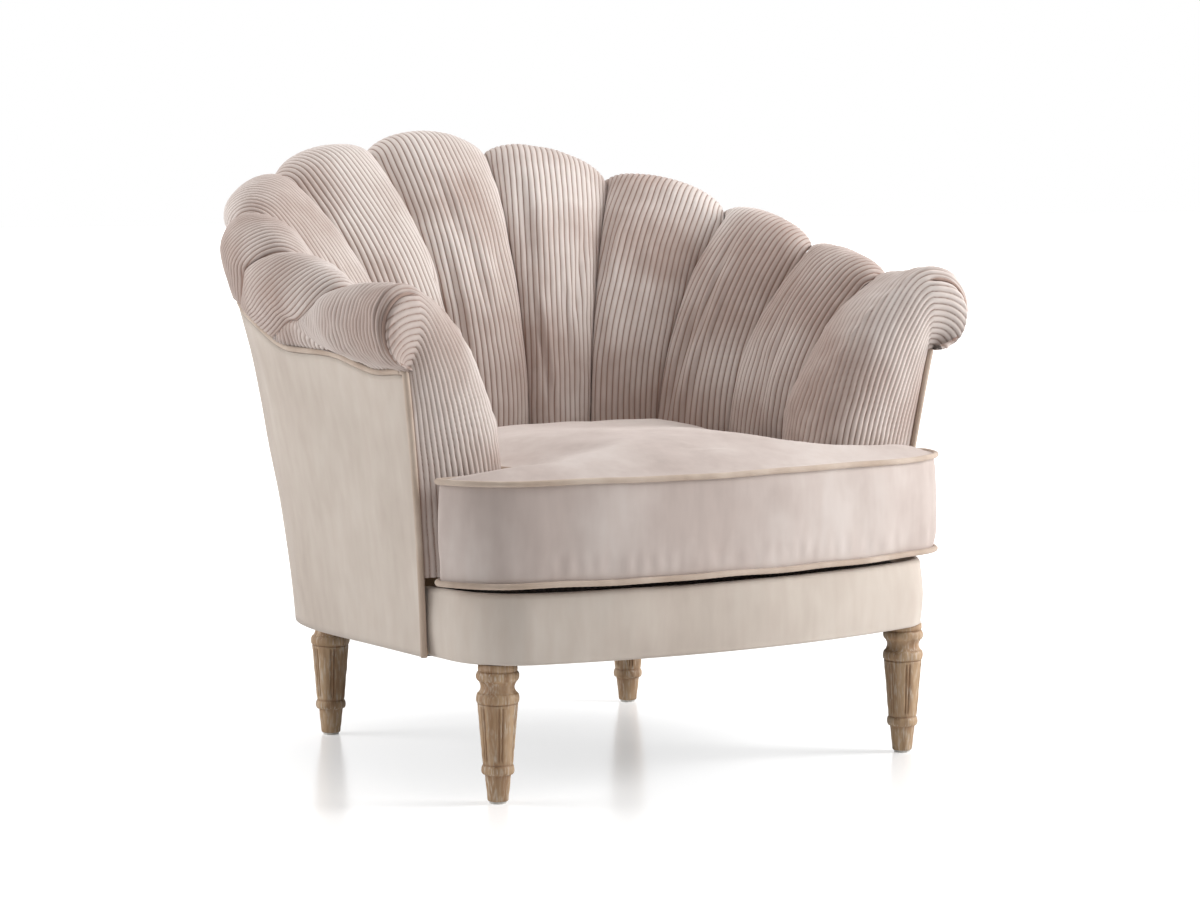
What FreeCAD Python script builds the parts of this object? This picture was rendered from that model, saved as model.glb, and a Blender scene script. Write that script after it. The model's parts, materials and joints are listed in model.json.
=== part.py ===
import FreeCAD, Part
import math
import os

from FreeCAD import Vector

# Channel-back lounge chair, in millimetres. +Z is up, the sitter faces -Y, +X is the sitter's left
# The origin is on the floor, under the middle of the chair's box

# Driving sizes. The back's round plan is centred on the plan centre, this far from the origin
plan_centre_y = -43.0
crest_half_width = 432.0
crest_depth = 425.0
arm_front_y = -190.0
apron_bow_y = -388.0
leg_height = 180.0
seat_line = 400.0
arm_roll_centre = 612.0
back_roll_centre = 804.0
overrun = 5.0
weld = 0.001
seam_gap = 0.6
touch = 0.3

# Inside plan of the channels at the seat, where their valleys stand, drawn in from the crest's plan
inside_drawn_in = 102.0
inside_shallower = 163.0
inside_squareness = 2.5
inside_setback = 30.0
inside_front = 50.0

# Plan of the crest roll's centre line
crest_squareness = 2.35
crest_front = 115.0

# Plan of the outside covers at their lower edge, drawn in from the crest's plan
foot_drawn_in = 50.0
foot_shallower = 73.0
foot_squareness = 2.7

# Channels: their widths from the centre out, as shares of the half length of each plan
channel_count = 11
arm_channel_count = 2
seat_width_shares = [0.0, 0.110, 0.311, 0.515, 0.744, 1.0]
crest_width_shares = [0.0, 0.126, 0.364, 0.602, 0.810, 1.0]
rise_shares = [1.0, 0.865, 0.62, 0.34, 0.085, 0.0]
welt_rise_shares = [1.0, 1.0, 0.79, 0.51, 0.21, 0.03]
channel_bulge = 26.0
valley_roll_radius = 18.0
crest_roll_radius = 56.0
crown_fullness = 2.3
crown_steepness = 1.7
channel_end_bulge = 6.0
flare_steps = 5
roll_steps = 7
side_facets = 5

# Front channel on each arm
corner_inset = 73.0
corner_roll_inset = 2.0
corner_roll_forward = 46.0
corner_roll_radius = 53.0
corner_end_reach = 3.0
corner_share = 0.62
scroll_eye_rise = 14.0
scroll_eye_step = 0.8
arm_side_steepness = 1.5
arm_face_fullness = 2.6
arm_face_steepness = 2.2

# Outside covers and welts
back_welt_drop = 129.0
arm_welt_drop = 59.0
cover_thickness = 4.0
cover_hollow_share = 0.02
cover_split_count = 2
cover_steps = 4
arm_edge_forward = 42.0
arm_edge_foot_forward = 8.0
arm_edge_foot_out = 2.0
arm_edge_hollow = 4.0
welt_reach = 30.0
welt_front_reach = 4.0
welt_radius = 4.5
welt_sides = 6
welt_clearance = 1.2
welt_end_share = 0.08

# Wooden frame
rib_thickness = 18.0
rib_bearing = 15.0
rib_gap = 3.0
rib_head_clearance = 2.5
rib_notch = 6.0
rib_top_drop = 12.0
rail_height = 76.0
rail_thickness = 28.0
rail_joint_y = -262.0
rail_step = 12.0
rail_step_back = 4.0
side_rail_end = 40.0
post_width = 36.0
post_depth = 46.0
post_setback = 30.0
post_foot_inset = 26.0
post_head_inset = 30.0
post_top_drop = 12.0
arm_bar_drop = 27.0
block_side = 70.0
block_height = 45.0
bar_size = 20.0
tack_bar_depth = 24.0
tack_bar_height = 30.0
tack_bar_rise = 44.0

# Legs
leg_front_inset = 43.0
leg_front_setback = 88.0
leg_back_inset = 125.0
leg_back_setback = 86.0
leg_top_radius = 25.5
bead_radius = 27.5
neck_radius = 22.0
taper_top_radius = 26.0
taper_end_radius = 19.5
ring_radius = 21.0
tip_top_radius = 16.8
tip_end_radius = 13.3
leg_top_collar = 10.0
upper_bead = 12.0
neck_length = 15.0
lower_bead = 14.0
ring_height = 14.0
tip_height = 37.0
glide_height = 3.0
glide_radius = 11.0
flute_pairs = 6
flute_section = [(-9.5, 0.0), (-5.5, 1.0), (0.0, 0.2), (5.5, 1.0), (9.5, 0.0), (30.0, 0.0)]
flute_depth = 1.6
flute_end_gap = 4.0
bolt_radius = 4.0
bolt_length = 60.0
bolt_clearance = 0.3
fastener_sides = 12

# Apron
apron_inset = 8.0
apron_corner_inset = 74.0
apron_corner_setback = 39.0
apron_height = 83.0
apron_thickness = 14.0
apron_crown = 5.0
apron_crown_steps = 3
bow_steps = 6
bow_corner_steps = 4

# Cushion
cushion_rise = 107.0
cushion_boxing = 126.0
cushion_crown = 38.0
cushion_belly = 3.0
cushion_draw_in = 6.0
cushion_overhang = 7.0
cushion_corner_setback = 41.0
cushion_corner_inset = 74.0
cushion_ear_out = 22.0
cushion_ear_back = 64.0
cushion_ear_middle = 56.0
cushion_ear_middle_inset = 51.0
cushion_gap = 9.0
cushion_arm_gap = 13.0
cushion_notch = 32.0
cushion_arm_side = 68.0
cushion_middle_y = -300.0
cushion_cover_thickness = 3.0
crown_run = 180.0
belly_run = 40.0
panel_shares = [0.0, 0.04, 0.12, 0.26, 0.50, 0.82]
belly_shares = [0.0, 0.12, 0.60]
inner_shares = [0.0, 0.12, 0.50, 0.82]
seam_depth = 8.4
piping_radius = 4.0
miter_share = 0.5

# Zip in the cushion's rear boxing
zip_margin = 3.0
zip_tape_height = 24.0
zip_tape_thickness = 1.2
zip_teeth_height = 5.0
zip_teeth_thickness = 1.4
slider_length = 12.0
slider_width = 9.0
slider_thickness = 3.4
slider_pull_width = 5.0
slider_pull_length = 24.0
slider_pull_thickness = 1.0

# Seat deck
webbing_width = 60.0
webbing_thickness = 2.0
webbing_bearing = 12.0
webbing_long_places = [-220.0, -110.0, 0.0, 110.0, 220.0]
webbing_cross_places = [-240.0, -75.0, 70.0, 215.0]
deck_cloth_thickness = 2.0
dust_cover_thickness = 1.5
deck_setback = 52.0
deck_side_gap = 5.0

# Sizes that follow from the ones above
inside_half_width = crest_half_width - inside_drawn_in
inside_depth = crest_depth - inside_shallower
foot_half_width = crest_half_width - foot_drawn_in
foot_depth = crest_depth - foot_shallower
half_count = (channel_count - 1) // 2
last_valley = half_count - 0.5

arm_welt_height = arm_roll_centre - arm_welt_drop
back_welt_height = back_roll_centre - back_welt_drop
corner_x = inside_half_width - corner_inset
arm_edge_top = (crest_half_width - corner_roll_inset, arm_front_y - arm_edge_forward)
arm_edge_foot = (foot_half_width + arm_edge_foot_out, arm_front_y - arm_edge_foot_forward)

leg_top = leg_height + dust_cover_thickness
rail_top = leg_height + rail_height
bolt_foot = leg_top - bolt_length / 2
webbing_top = rail_top + 2 * webbing_thickness
apron_half_width = foot_half_width - apron_inset
apron_corner = (apron_half_width - apron_corner_inset, apron_bow_y + apron_corner_setback)
leg_front = (apron_half_width - leg_front_inset, apron_bow_y + leg_front_setback)
leg_back = (foot_half_width - leg_back_inset, foot_depth - leg_back_setback)

cushion_bottom = leg_height + cushion_rise
bottom_seam = cushion_bottom + piping_radius - cushion_belly
top_seam = cushion_bottom + cushion_boxing
zip_height = (bottom_seam + top_seam) / 2
deck_top = cushion_bottom - cushion_belly - touch
deck_pad_top = deck_top - deck_cloth_thickness
channel_foot = deck_top + touch
cushion_bow_y = apron_bow_y - cushion_overhang
cushion_ear_x = apron_half_width + cushion_ear_out
cushion_corner = (cushion_ear_x - cushion_corner_inset, cushion_bow_y + cushion_corner_setback)

tack_bar_level = rail_top + tack_bar_rise
post_y = arm_front_y + post_setback
post_foot_x = foot_half_width - post_foot_inset
post_head_x = crest_half_width - post_head_inset
post_top = arm_roll_centre - post_top_drop
arm_bar_height = arm_roll_centre - arm_bar_drop


def closed_line(points):
    return Part.makePolygon(list(points) + [points[0]])


def prism(points, rise):
    return Part.Face(closed_line(points)).extrude(Vector(0, 0, rise))


def round_bar(radius, length, x, y, foot):
    """Turned piece as a prism with a few sides"""
    points = []
    for side in range(fastener_sides):
        turn = 2 * math.pi * side / fastener_sides
        points.append(Vector(x + radius * math.cos(turn), y + radius * math.sin(turn), foot))
    return prism(points, length)


def save(node, shapes):
    """Writes one node, moved from the plan centre's frame to the chair's own origin"""
    shape = Part.makeCompound(shapes) if isinstance(shapes, list) else shapes.copy()
    shape.translate(Vector(0, plan_centre_y, 0))
    shape.exportStep("parts/" + node + ".step")


def mirrored(shape):
    return shape.mirror(Vector(0, 0, 0), Vector(1, 0, 0))


def between(value, stations, results):
    """Reads a value off a line of straight pieces through the stations"""
    for low in range(len(stations) - 1):
        if value <= stations[low + 1]:
            share = (value - stations[low]) / (stations[low + 1] - stations[low])
            return results[low] + (results[low + 1] - results[low]) * share
    return results[-1]


def eased(value, results):
    """Reads a value off a smooth line through results that stand at 0, 1, 2 and so on"""
    last = len(results) - 1
    low = min(int(value), last - 1)
    share = value - low
    before, start, end, after = (results[max(0, low - 1)], results[low],
                                 results[low + 1], results[min(last, low + 2)])
    tilt_in = (end - before) / 2 if low > 0 else 0.0
    tilt_out = (after - start) / 2 if low < last - 1 else 0.0
    return (start * (1 - share) ** 2 * (1 + 2 * share) + end * share ** 2 * (3 - 2 * share)
            + tilt_in * share * (1 - share) ** 2 - tilt_out * share ** 2 * (1 - share))


class PlanCurve:
    """Half of a round plan, from the middle of the back to the front end of an arm"""

    def __init__(self, half_width, depth, squareness, setback, front, steps=240):
        self.points = []
        for step in range(steps + 1):
            turn = math.pi / 2 * step / steps
            self.points.append(Vector(half_width * math.sin(turn) ** (2 / squareness),
                                      depth * math.cos(turn) ** (2 / squareness) - setback, 0))
        self.points.append(Vector(half_width, -front, 0))
        self.lengths = [0.0]
        for first, second in zip(self.points, self.points[1:]):
            self.lengths.append(self.lengths[-1] + first.distanceToPoint(second))

    def at(self, share):
        along = share * self.lengths[-1]
        return Vector(between(along, self.lengths, [p.x for p in self.points]),
                      between(along, self.lengths, [p.y for p in self.points]), 0)


inside_plan = PlanCurve(inside_half_width, inside_depth, inside_squareness, inside_setback, inside_front)
crest_plan = PlanCurve(crest_half_width, crest_depth, crest_squareness, 0, crest_front)
valley_places = [0.0] + [place + 0.5 for place in range(half_count)]


def plan_stations(place):
    """Seat point, roll centre and outward direction at a place counted in channels from the middle"""
    size = abs(place)
    seat = inside_plan.at(between(size, valley_places, seat_width_shares))
    crest = crest_plan.at(between(size, valley_places, crest_width_shares))
    if place < 0:
        seat.x, crest.x = -seat.x, -crest.x
    outward = (crest - seat).normalize()
    return seat, crest, outward


def roll_height(place):
    return arm_roll_centre + (back_roll_centre - arm_roll_centre) * eased(abs(place), rise_shares)


def welt_height(place):
    return arm_welt_height + (back_welt_height - arm_welt_height) * between(abs(place), valley_places,
                                                                            welt_rise_shares)


def welt_offset(place):
    places = [0.0, half_count - arm_channel_count, last_valley]
    return between(abs(place), places, [welt_reach, welt_reach, welt_front_reach])


def roll_profile(reach, height, radius, end_reach, end_height):
    """Points, as reach and height, up the flare, round the roll and down to the end"""
    rise = height - seat_line
    flare = (reach ** 2 + rise ** 2 - radius ** 2) / (2 * (reach - radius))
    meeting = math.atan2(rise, reach - flare)
    drop = end_height - height
    distance = math.hypot(end_reach, drop)
    leaving = math.atan2(drop, end_reach) + math.acos(min(1.0, radius / distance))
    points = [(0.0, channel_foot)]
    for step in range(flare_steps + 1):
        turn = math.pi + (meeting - math.pi) * step / flare_steps
        points.append((flare + flare * math.cos(turn), seat_line + flare * math.sin(turn)))
    for step in range(1, roll_steps + 1):
        turn = meeting + (leaving - meeting) * step / roll_steps
        points.append((reach + radius * math.cos(turn), height + radius * math.sin(turn)))
    points.append((reach + end_reach, end_height))
    return points


def placed(start, outward, points):
    return [start + outward * reach + Vector(0, 0, height) for reach, height in points]


def channel_end(place):
    return welt_height(place) + 2 * welt_radius + welt_clearance


def valley_line(place):
    seat, crest, outward = plan_stations(place)
    profile = roll_profile(seat.distanceToPoint(crest), roll_height(place), valley_roll_radius,
                           welt_offset(place), channel_end(place))
    return placed(seat, outward, profile)


def crest_line(place):
    seat, crest, outward = plan_stations(place)
    profile = roll_profile(seat.distanceToPoint(crest) + channel_bulge, roll_height(place), crest_roll_radius,
                           welt_offset(place) + channel_end_bulge, channel_end(place))
    return placed(seat - outward * channel_bulge, outward, profile)


def corner_line():
    """Inner front corner of the arm, up its flare and round its scroll"""
    start = Vector(corner_x, arm_front_y, 0)
    centre = Vector(crest_half_width - corner_roll_inset, arm_front_y - corner_roll_forward, 0)
    profile = roll_profile(start.distanceToPoint(centre), arm_roll_centre, corner_roll_radius,
                           corner_end_reach, channel_end(last_valley))
    return placed(start, (centre - start).normalize(), profile)


def arm_edge(height):
    """Front edge of the outside arm cover at a height"""
    share = (height - leg_height) / (arm_welt_height - leg_height)
    hollow = arm_edge_hollow * 4 * share * (1 - share)
    foot, top = Vector(*arm_edge_foot, height), Vector(*arm_edge_top, height)
    return foot + (top - foot) * share - Vector(hollow, 0, 0)


def front_line(count):
    """Outer edge of the arm's front face: up beside the welt, then a small loop inside the scroll"""
    beside = Vector(-cover_thickness / 2 - welt_radius - touch, -welt_radius - touch, 0)
    climb = flare_steps + 2
    top = arm_welt_height + welt_radius
    points = []
    for step in range(climb):
        height = channel_foot + (top - channel_foot) * step / (climb - 1)
        points.append(arm_edge(height) + beside)
    for step in range(1, count - climb + 1):
        turn = math.pi * step / (count - climb)
        loop = Vector(0, 0, scroll_eye_rise * math.sin(turn))
        points.append(points[climb - 1] + loop + Vector(0, 0, scroll_eye_step * step))
    return points


def bulge_share(offset, steepness, fullness=crown_fullness):
    return max(0.0, 1 - abs(offset) ** fullness) ** (1 / steepness)


def cap(start, count, banded):
    """Facets over an end ring: a fan about its middle, or cross strips where the ring is a thin band"""
    if not banded:
        return [(start + side, start + (side + 1) % count, None) for side in range(count)]
    facets = []
    for side in range(count // 2 - 1):
        near, far = start + side, start + count - 1 - side
        facets += [(near, near + 1, far), (near + 1, far - 1, far)]
    return facets


def faceted_loft(rings, closed=False, banded=False, tips=None):
    """Closed solid through rings of points, skinned with flat facets so that soft forms stay light"""
    count = len(rings[0])
    points = [point for ring in rings for point in ring]
    total = len(points)
    facets = []
    for lower in range(0, total if closed else total - count, count):
        for side in range(count):
            here, beside = lower + side, lower + (side + 1) % count
            above, across = (here + count) % total, (beside + count) % total
            if points[here].distanceToPoint(points[across]) < points[beside].distanceToPoint(points[above]):
                facets += [(here, beside, across), (here, across, above)]
            else:
                facets += [(here, beside, above), (beside, across, above)]
    ends = [] if closed else [(0, -1), (total - count, 1)]
    for start, order in ends:
        middle = sum(points[start:start + count], Vector()) * (1 / count)
        points.append(tips[start > 0] if tips else middle)
        for facet in cap(start, count, banded):
            corners = [len(points) - 1 if corner is None else corner for corner in facet]
            facets.append(tuple(corners[::order]))
        if banded:
            points.pop()
    shell = Part.Shape()
    shell.makeShapeFromMesh((points, facets), weld)
    solid = Part.makeSolid(shell)
    if solid.Volume < 0:
        solid.reverse()
    return solid.removeSplitter()


def crown_offsets():
    """Places across a channel from seam to seam, closer together where it turns down to the seams"""
    return [math.sin(math.pi / 2 * step / side_facets) for step in range(-side_facets, side_facets + 1)]


def seam_pair(left, right):
    """Both seam points, drawn together by the sewn seam's gap"""
    inward = (right - left).normalize() * (seam_gap / 2)
    return left + inward, right - inward


def channel(place):
    """One stuffed channel of the back, crowned between two valleys"""
    rings = []
    for left, right, crown in zip(valley_line(place - 0.5), valley_line(place + 0.5), crest_line(place)):
        left, right = seam_pair(left, right)
        lift = crown - (left + right) * 0.5
        rings.append([left + (right - left) * ((offset + 1) / 2) + lift * bulge_share(offset, crown_steepness)
                      for offset in crown_offsets()])
    return faceted_loft(rings)


def arm_channel():
    """The last channel, which turns the corner of the arm and covers its front face"""
    rings = []
    corners = corner_line()
    for valley, corner, edge in zip(valley_line(last_valley), corners, front_line(len(corners))):
        valley, edge = seam_pair(valley, edge)
        across = edge - valley
        lift = corner - (valley + across * corner_share)
        ring = []
        for offset in crown_offsets():
            if offset < 0:
                share = corner_share * (1 + offset)
                rise = bulge_share(offset, arm_side_steepness)
            else:
                share = corner_share + (1 - corner_share) * offset
                rise = bulge_share(offset, arm_face_steepness, arm_face_fullness)
            ring.append(valley + across * share + lift * rise)
        rings.append(ring)
    return faceted_loft(rings)


def tube_ring(centre, outward, radius, sides):
    """Ring of a tube that runs level, or nearly so: outward is level and square to its run"""
    return [centre + outward * (radius * math.cos(turn)) + Vector(0, 0, radius * math.sin(turn))
            for turn in (2 * math.pi * side / sides for side in range(sides))]


def bar(first, second, width, height, outward_first, outward_second):
    """Square bar between two points, its faces set by the outward directions at its ends"""
    rings = []
    for centre, outward in ((first, outward_first), (second, outward_second)):
        half, rise = outward * (width / 2), Vector(0, 0, height / 2)
        rings.append([centre - half - rise, centre + half - rise, centre + half + rise, centre - half + rise])
    return faceted_loft(rings)


# Outside covers

def foot_reach(place, inset=0.0):
    """How far the foot plan lies from the seat point, along a rib's own direction"""
    seat, crest, outward = plan_stations(place)
    low, high = 0.0, crest_depth
    while high - low > weld:
        reach = (low + high) / 2
        point = seat + outward * reach
        fill = (abs(point.x) / (foot_half_width - inset)) ** foot_squareness
        if point.y > 0:
            fill += (point.y / (foot_depth - inset)) ** foot_squareness
        low, high = (reach, high) if fill < 1 else (low, reach)
    return low


def cover_reach(place, height, inset=0.0):
    """Reach of the outside cover's outer face at a height, hollowed a little between its edges"""
    seat, crest, outward = plan_stations(place)
    foot = foot_reach(place)
    top = seat.distanceToPoint(crest) + welt_offset(place)
    share = (height - leg_height) / (welt_height(place) - leg_height)
    hollow = cover_hollow_share * (welt_height(place) - leg_height)
    return foot + (top - foot) * share - 4 * hollow * share * (1 - share) - inset


def cover_point(place, height, inset=0.0):
    """Point of the cover at a place counted in channels; past the last valley it runs on to the arm's edge"""
    size = min(abs(place), last_valley)
    seat, crest, outward = plan_stations(size)
    point = seat + outward * cover_reach(size, height, inset)
    if abs(place) > last_valley:
        share = (abs(place) - last_valley) / (half_count + 0.5 - last_valley)
        edge = arm_edge(height) - Vector(inset, 0, 0)
        point = point + (Vector(edge.x, edge.y, 0) - point) * share
    point.z = height
    if place < 0:
        point.x = -point.x
    return point


def cover_top(place):
    size = min(abs(place), last_valley)
    share = max(0.0, (abs(place) - last_valley) / (half_count + 0.5 - last_valley))
    return welt_height(size) * (1 - share) + arm_welt_height * share


def cover(places):
    rings = []
    for place in places:
        heights = [leg_height + (cover_top(place) - leg_height) * step / cover_steps
                   for step in range(cover_steps + 1)]
        outer = [cover_point(place, height) for height in heights]
        inner = [cover_point(place, height, cover_thickness) for height in heights]
        rings.append(outer + inner[::-1])
    return faceted_loft(rings, banded=True)


def places_between(first, last, step=0.5):
    count = int(round((last - first) / step))
    return [first + (last - first) * number / count for number in range(count + 1)]


def crest_welt():
    rings = []
    end = half_count + 0.5 - welt_end_share
    for place in [-end] + places_between(-half_count, half_count) + [end]:
        size = min(abs(place), last_valley)
        outward = plan_stations(size)[2]
        centre = cover_point(abs(place), cover_top(place), cover_thickness / 2)
        if place < 0:
            centre.x, outward.x = -centre.x, -outward.x
        centre.z += welt_radius + touch
        rings.append(tube_ring(centre, outward, welt_radius, welt_sides))
    return faceted_loft(rings)


def front_welt():
    """Piping down the front edge of the left arm's cover, a hair off the cover"""
    rings = []
    steps = 8
    for step in range(steps + 1):
        height = leg_height + (arm_welt_height - leg_height) * step / steps
        centre = arm_edge(height) + Vector(-cover_thickness / 2, -welt_radius - touch, 0)
        rings.append([centre + Vector(welt_radius * math.cos(turn), welt_radius * math.sin(turn), 0)
                      for turn in (2 * math.pi * side / welt_sides for side in range(welt_sides))])
    return faceted_loft(rings)


# Wooden frame

def rib(place):
    """Cut board behind a valley: it stands on the rail, follows the flare and ends in a round head"""
    seat, crest, outward = plan_stations(place)
    reach = seat.distanceToPoint(crest)
    height = roll_height(place)
    head = valley_roll_radius - rib_head_clearance
    welt_end = welt_offset(place) - cover_thickness / 2 - welt_radius - rib_gap
    front = roll_profile(reach - rib_gap, height, head, welt_end, channel_end(place))[1:]
    front = [(along + rib_gap, up) for along, up in front]
    back_gap = cover_thickness + rib_gap
    back_top = welt_height(place) - rib_top_drop
    back = []
    for step in range(cover_steps + 1):
        up = back_top + (rail_top - back_top) * step / cover_steps
        back.append((cover_reach(place, up, back_gap), up))
    bearing = back[-1][0] - rib_bearing
    notch = rail_top + rib_notch
    foot = [(bearing, rail_top), (bearing, notch), (rib_gap, notch)]
    across = outward.cross(Vector(0, 0, 1)) * rib_thickness
    board = Part.Face(closed_line(placed(seat, outward, front + back + foot)))
    board.translate(across * -0.5)
    return board.extrude(across)


def largest(shape):
    """The piece that matters of a shape that a cut left in pieces"""
    return max(shape.Solids, key=lambda solid: solid.Volume)


def rib_bars(ribs, reach_of, height_of, width, height):
    """Bars from rib to rib, cut off at the ribs' faces"""
    bars = []
    for number in range(len(ribs) - 1):
        ends = []
        for place in (number - last_valley, number + 1 - last_valley):
            seat, crest, outward = plan_stations(place)
            ends.append((seat + outward * reach_of(place) + Vector(0, 0, height_of(place)), outward))
        piece = bar(ends[0][0], ends[1][0], width, height, ends[0][1], ends[1][1])
        bars.append(largest(piece.cut(ribs[number]).cut(ribs[number + 1])))
    return bars


def crest_reach(place):
    seat, crest, outward = plan_stations(place)
    return seat.distanceToPoint(crest)


def tack_reach(place):
    return rib_gap + tack_bar_depth / 2


def tack_height(place):
    return tack_bar_level


def bowed_path(half_width, corner, bow, back, inset):
    """Points of the bowed front outline, from one side to the other: bow and corners are true arcs"""
    sagitta = corner.y - bow
    bow_radius = (corner.x ** 2 + sagitta ** 2) / (2 * sagitta)
    lean = math.asin(corner.x / bow_radius)
    radius = (half_width - corner.x) / (1 - math.sin(lean))
    centre = Vector(corner.x - radius * math.sin(lean), corner.y + radius * math.cos(lean), 0)
    bow_centre_y = bow + bow_radius
    points = [Vector(half_width - inset, back, 0)]
    for step in range(bow_corner_steps + 1):
        turn = -(math.pi / 2 - lean) * step / bow_corner_steps
        points.append(centre + Vector(math.cos(turn), math.sin(turn), 0) * (radius - inset))
    for step in range(1, bow_steps + 1):
        turn = lean * (1 - step / bow_steps)
        points.append(Vector((bow_radius - inset) * math.sin(turn),
                             bow_centre_y - (bow_radius - inset) * math.cos(turn), 0))
    return points + [Vector(-point.x, point.y, 0) for point in points[-2::-1]]


def apron_path(inset, back):
    return bowed_path(apron_half_width, Vector(*apron_corner, 0), apron_bow_y, back, inset)


def raised(points, height):
    return [Vector(point.x, point.y, height) for point in points]


def seat_outline(inset):
    """Outline of the seat, inside the covers and the apron, from the right arm round by the back"""
    wide_inset = cover_thickness + touch + inset
    narrow = apron_thickness + touch + inset
    places = places_between(-last_valley, last_valley)
    points = [cover_point(place, leg_height, wide_inset) for place in places]
    side = Vector(foot_half_width - wide_inset, arm_edge_foot[1] + rail_step_back, 0)
    front = apron_path(narrow, side.y - rail_step)
    return points + [side] + front + [Vector(-side.x, side.y, 0)]


def seat_block(inset, bottom, rise):
    return prism(raised(seat_outline(inset), bottom), rise)


def box_between(low, high):
    size = high - low
    return Part.makeBox(size.x, size.y, size.z, low)


def rail_ring(front, back):
    """The part of the seat rails between two planes"""
    rise = rail_top - leg_top
    ring = seat_block(0, leg_top, rise).cut(seat_block(rail_thickness, leg_top, rise))
    reach = crest_half_width
    return ring.common(box_between(Vector(-reach, front, leg_top), Vector(reach, back, rail_top)))


def one_side(shape):
    """The left half of a shape"""
    reach = crest_half_width + channel_bulge
    box = box_between(Vector(0, -reach, 0), Vector(reach, reach, 2 * back_roll_centre))
    return shape.common(box)


def corner_block(spot, forward):
    """Glued block behind the rails' corner, over a leg"""
    leg_x, leg_y = spot
    low = Vector(leg_x - block_side, leg_y - (rail_thickness if forward else block_side), leg_top)
    high = Vector(leg_x + rail_thickness, leg_y + (block_side if forward else rail_thickness),
                  leg_top + block_height)
    return seat_block(rail_thickness, leg_top, block_height).common(box_between(low, high))


def post_ring(height, growth=0.0):
    """Section of the leaning arm post at a height"""
    share = (height - rail_top) / (post_top - rail_top)
    x = post_foot_x + (post_head_x - post_foot_x) * share
    half_x, half_y = post_width / 2 + growth, post_depth / 2 + growth
    return [Vector(x - half_x, post_y - half_y, height), Vector(x + half_x, post_y - half_y, height),
            Vector(x + half_x, post_y + half_y, height), Vector(x - half_x, post_y + half_y, height)]


def arm_post(growth=0.0):
    return faceted_loft([post_ring(rail_top, growth), post_ring(post_top + growth, growth)])


def arm_bar(growth=0.0):
    """Short bar from the last rib's head to the arm post"""
    seat, crest, outward = plan_stations(last_valley)
    first = Vector(crest.x, crest.y, roll_height(last_valley))
    share = (arm_bar_height - rail_top) / (post_top - rail_top)
    second = Vector(post_foot_x + (post_head_x - post_foot_x) * share, post_y, arm_bar_height)
    size = bar_size + 2 * growth
    return bar(first, second, size, size, outward, Vector(1, 0, 0))


# Seat deck

def webbing(along, across_reach, positions, height):
    """Strips of webbing, stretched over the rails"""
    region = seat_block(rail_thickness - webbing_bearing, height, webbing_thickness)
    strips = []
    for position in positions:
        near, far = position - webbing_width / 2, position + webbing_width / 2
        low, high = Vector(-across_reach, near, height), Vector(across_reach, far, height + rail_height)
        if along:
            low, high = Vector(near, -across_reach, low.z), Vector(far, across_reach, high.z)
        strips.append(region.common(box_between(low, high)))
    return strips


def deck(bottom, rise):
    """Layer of the seat's deck, inside the feet of the channels and set back from the apron"""
    points = []
    for place in places_between(-last_valley, last_valley):
        seat, crest, outward = plan_stations(place)
        points.append(seat - outward * deck_side_gap)
    points += apron_path(deck_setback, rail_joint_y)
    return prism(raised(points, bottom), rise)


def leg_spots():
    return [leg_front, (-leg_front[0], leg_front[1]), leg_back, (-leg_back[0], leg_back[1])]


def dust_cover():
    """Cloth under the seat, with the legs' bolts going through it"""
    sheet = seat_block(0, leg_height, dust_cover_thickness)
    for x, y in leg_spots():
        sheet = sheet.cut(round_bar(bolt_radius + bolt_clearance, bolt_length, x, y, bolt_foot))
    return sheet


def apron():
    """Padded band across the front, rounded at its top, ending just before the welts of the arms"""
    top = leg_height + apron_height
    levels = [(0.0, leg_height)]
    for step in range(apron_crown_steps + 1):
        turn = math.pi / 2 * step / apron_crown_steps
        levels.append((apron_crown * (1 - math.cos(turn)), top - apron_crown * (1 - math.sin(turn))))
    back = arm_edge_foot[1]
    paths = [raised(apron_path(inset, back), height) for inset, height in levels]
    backs = [raised(apron_path(apron_thickness, back), height) for inset, height in levels]
    rings = [[path[spot] for path in paths] + [path[spot] for path in backs[::-1]]
             for spot in range(len(paths[0]))]
    band = faceted_loft(rings, banded=True)
    reach = apron_half_width + overrun
    back_plane = []
    for height in (leg_height - overrun, top + overrun):
        y = arm_edge(height).y - 2 * welt_radius - 2 * touch
        back_plane.append([Vector(-reach, y, height), Vector(reach, y, height),
                           Vector(reach, 0, height), Vector(-reach, 0, height)])
    return band.cut(faceted_loft(back_plane))


# Seat cushion

def cushion_side():
    """Right half of the cushion's outline behind its ears: it keeps a gap to the channels and the arm"""
    points = []
    for place in places_between(1.0, half_count - 1.0):
        seat, crest, outward = plan_stations(place)
        points.append(seat - outward * (channel_bulge + cushion_gap))
    arm_x = corner_x - cushion_arm_gap
    points += [Vector(arm_x + cushion_gap, arm_front_y + cushion_arm_side, 0),
               Vector(arm_x, arm_front_y + cushion_arm_side / 2, 0),
               Vector(arm_x, arm_front_y - cushion_notch, 0),
               Vector(cushion_ear_x - cushion_ear_middle_inset, arm_front_y - cushion_ear_middle, 0),
               Vector(cushion_ear_x, arm_front_y - cushion_ear_back, 0)]
    return points


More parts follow.
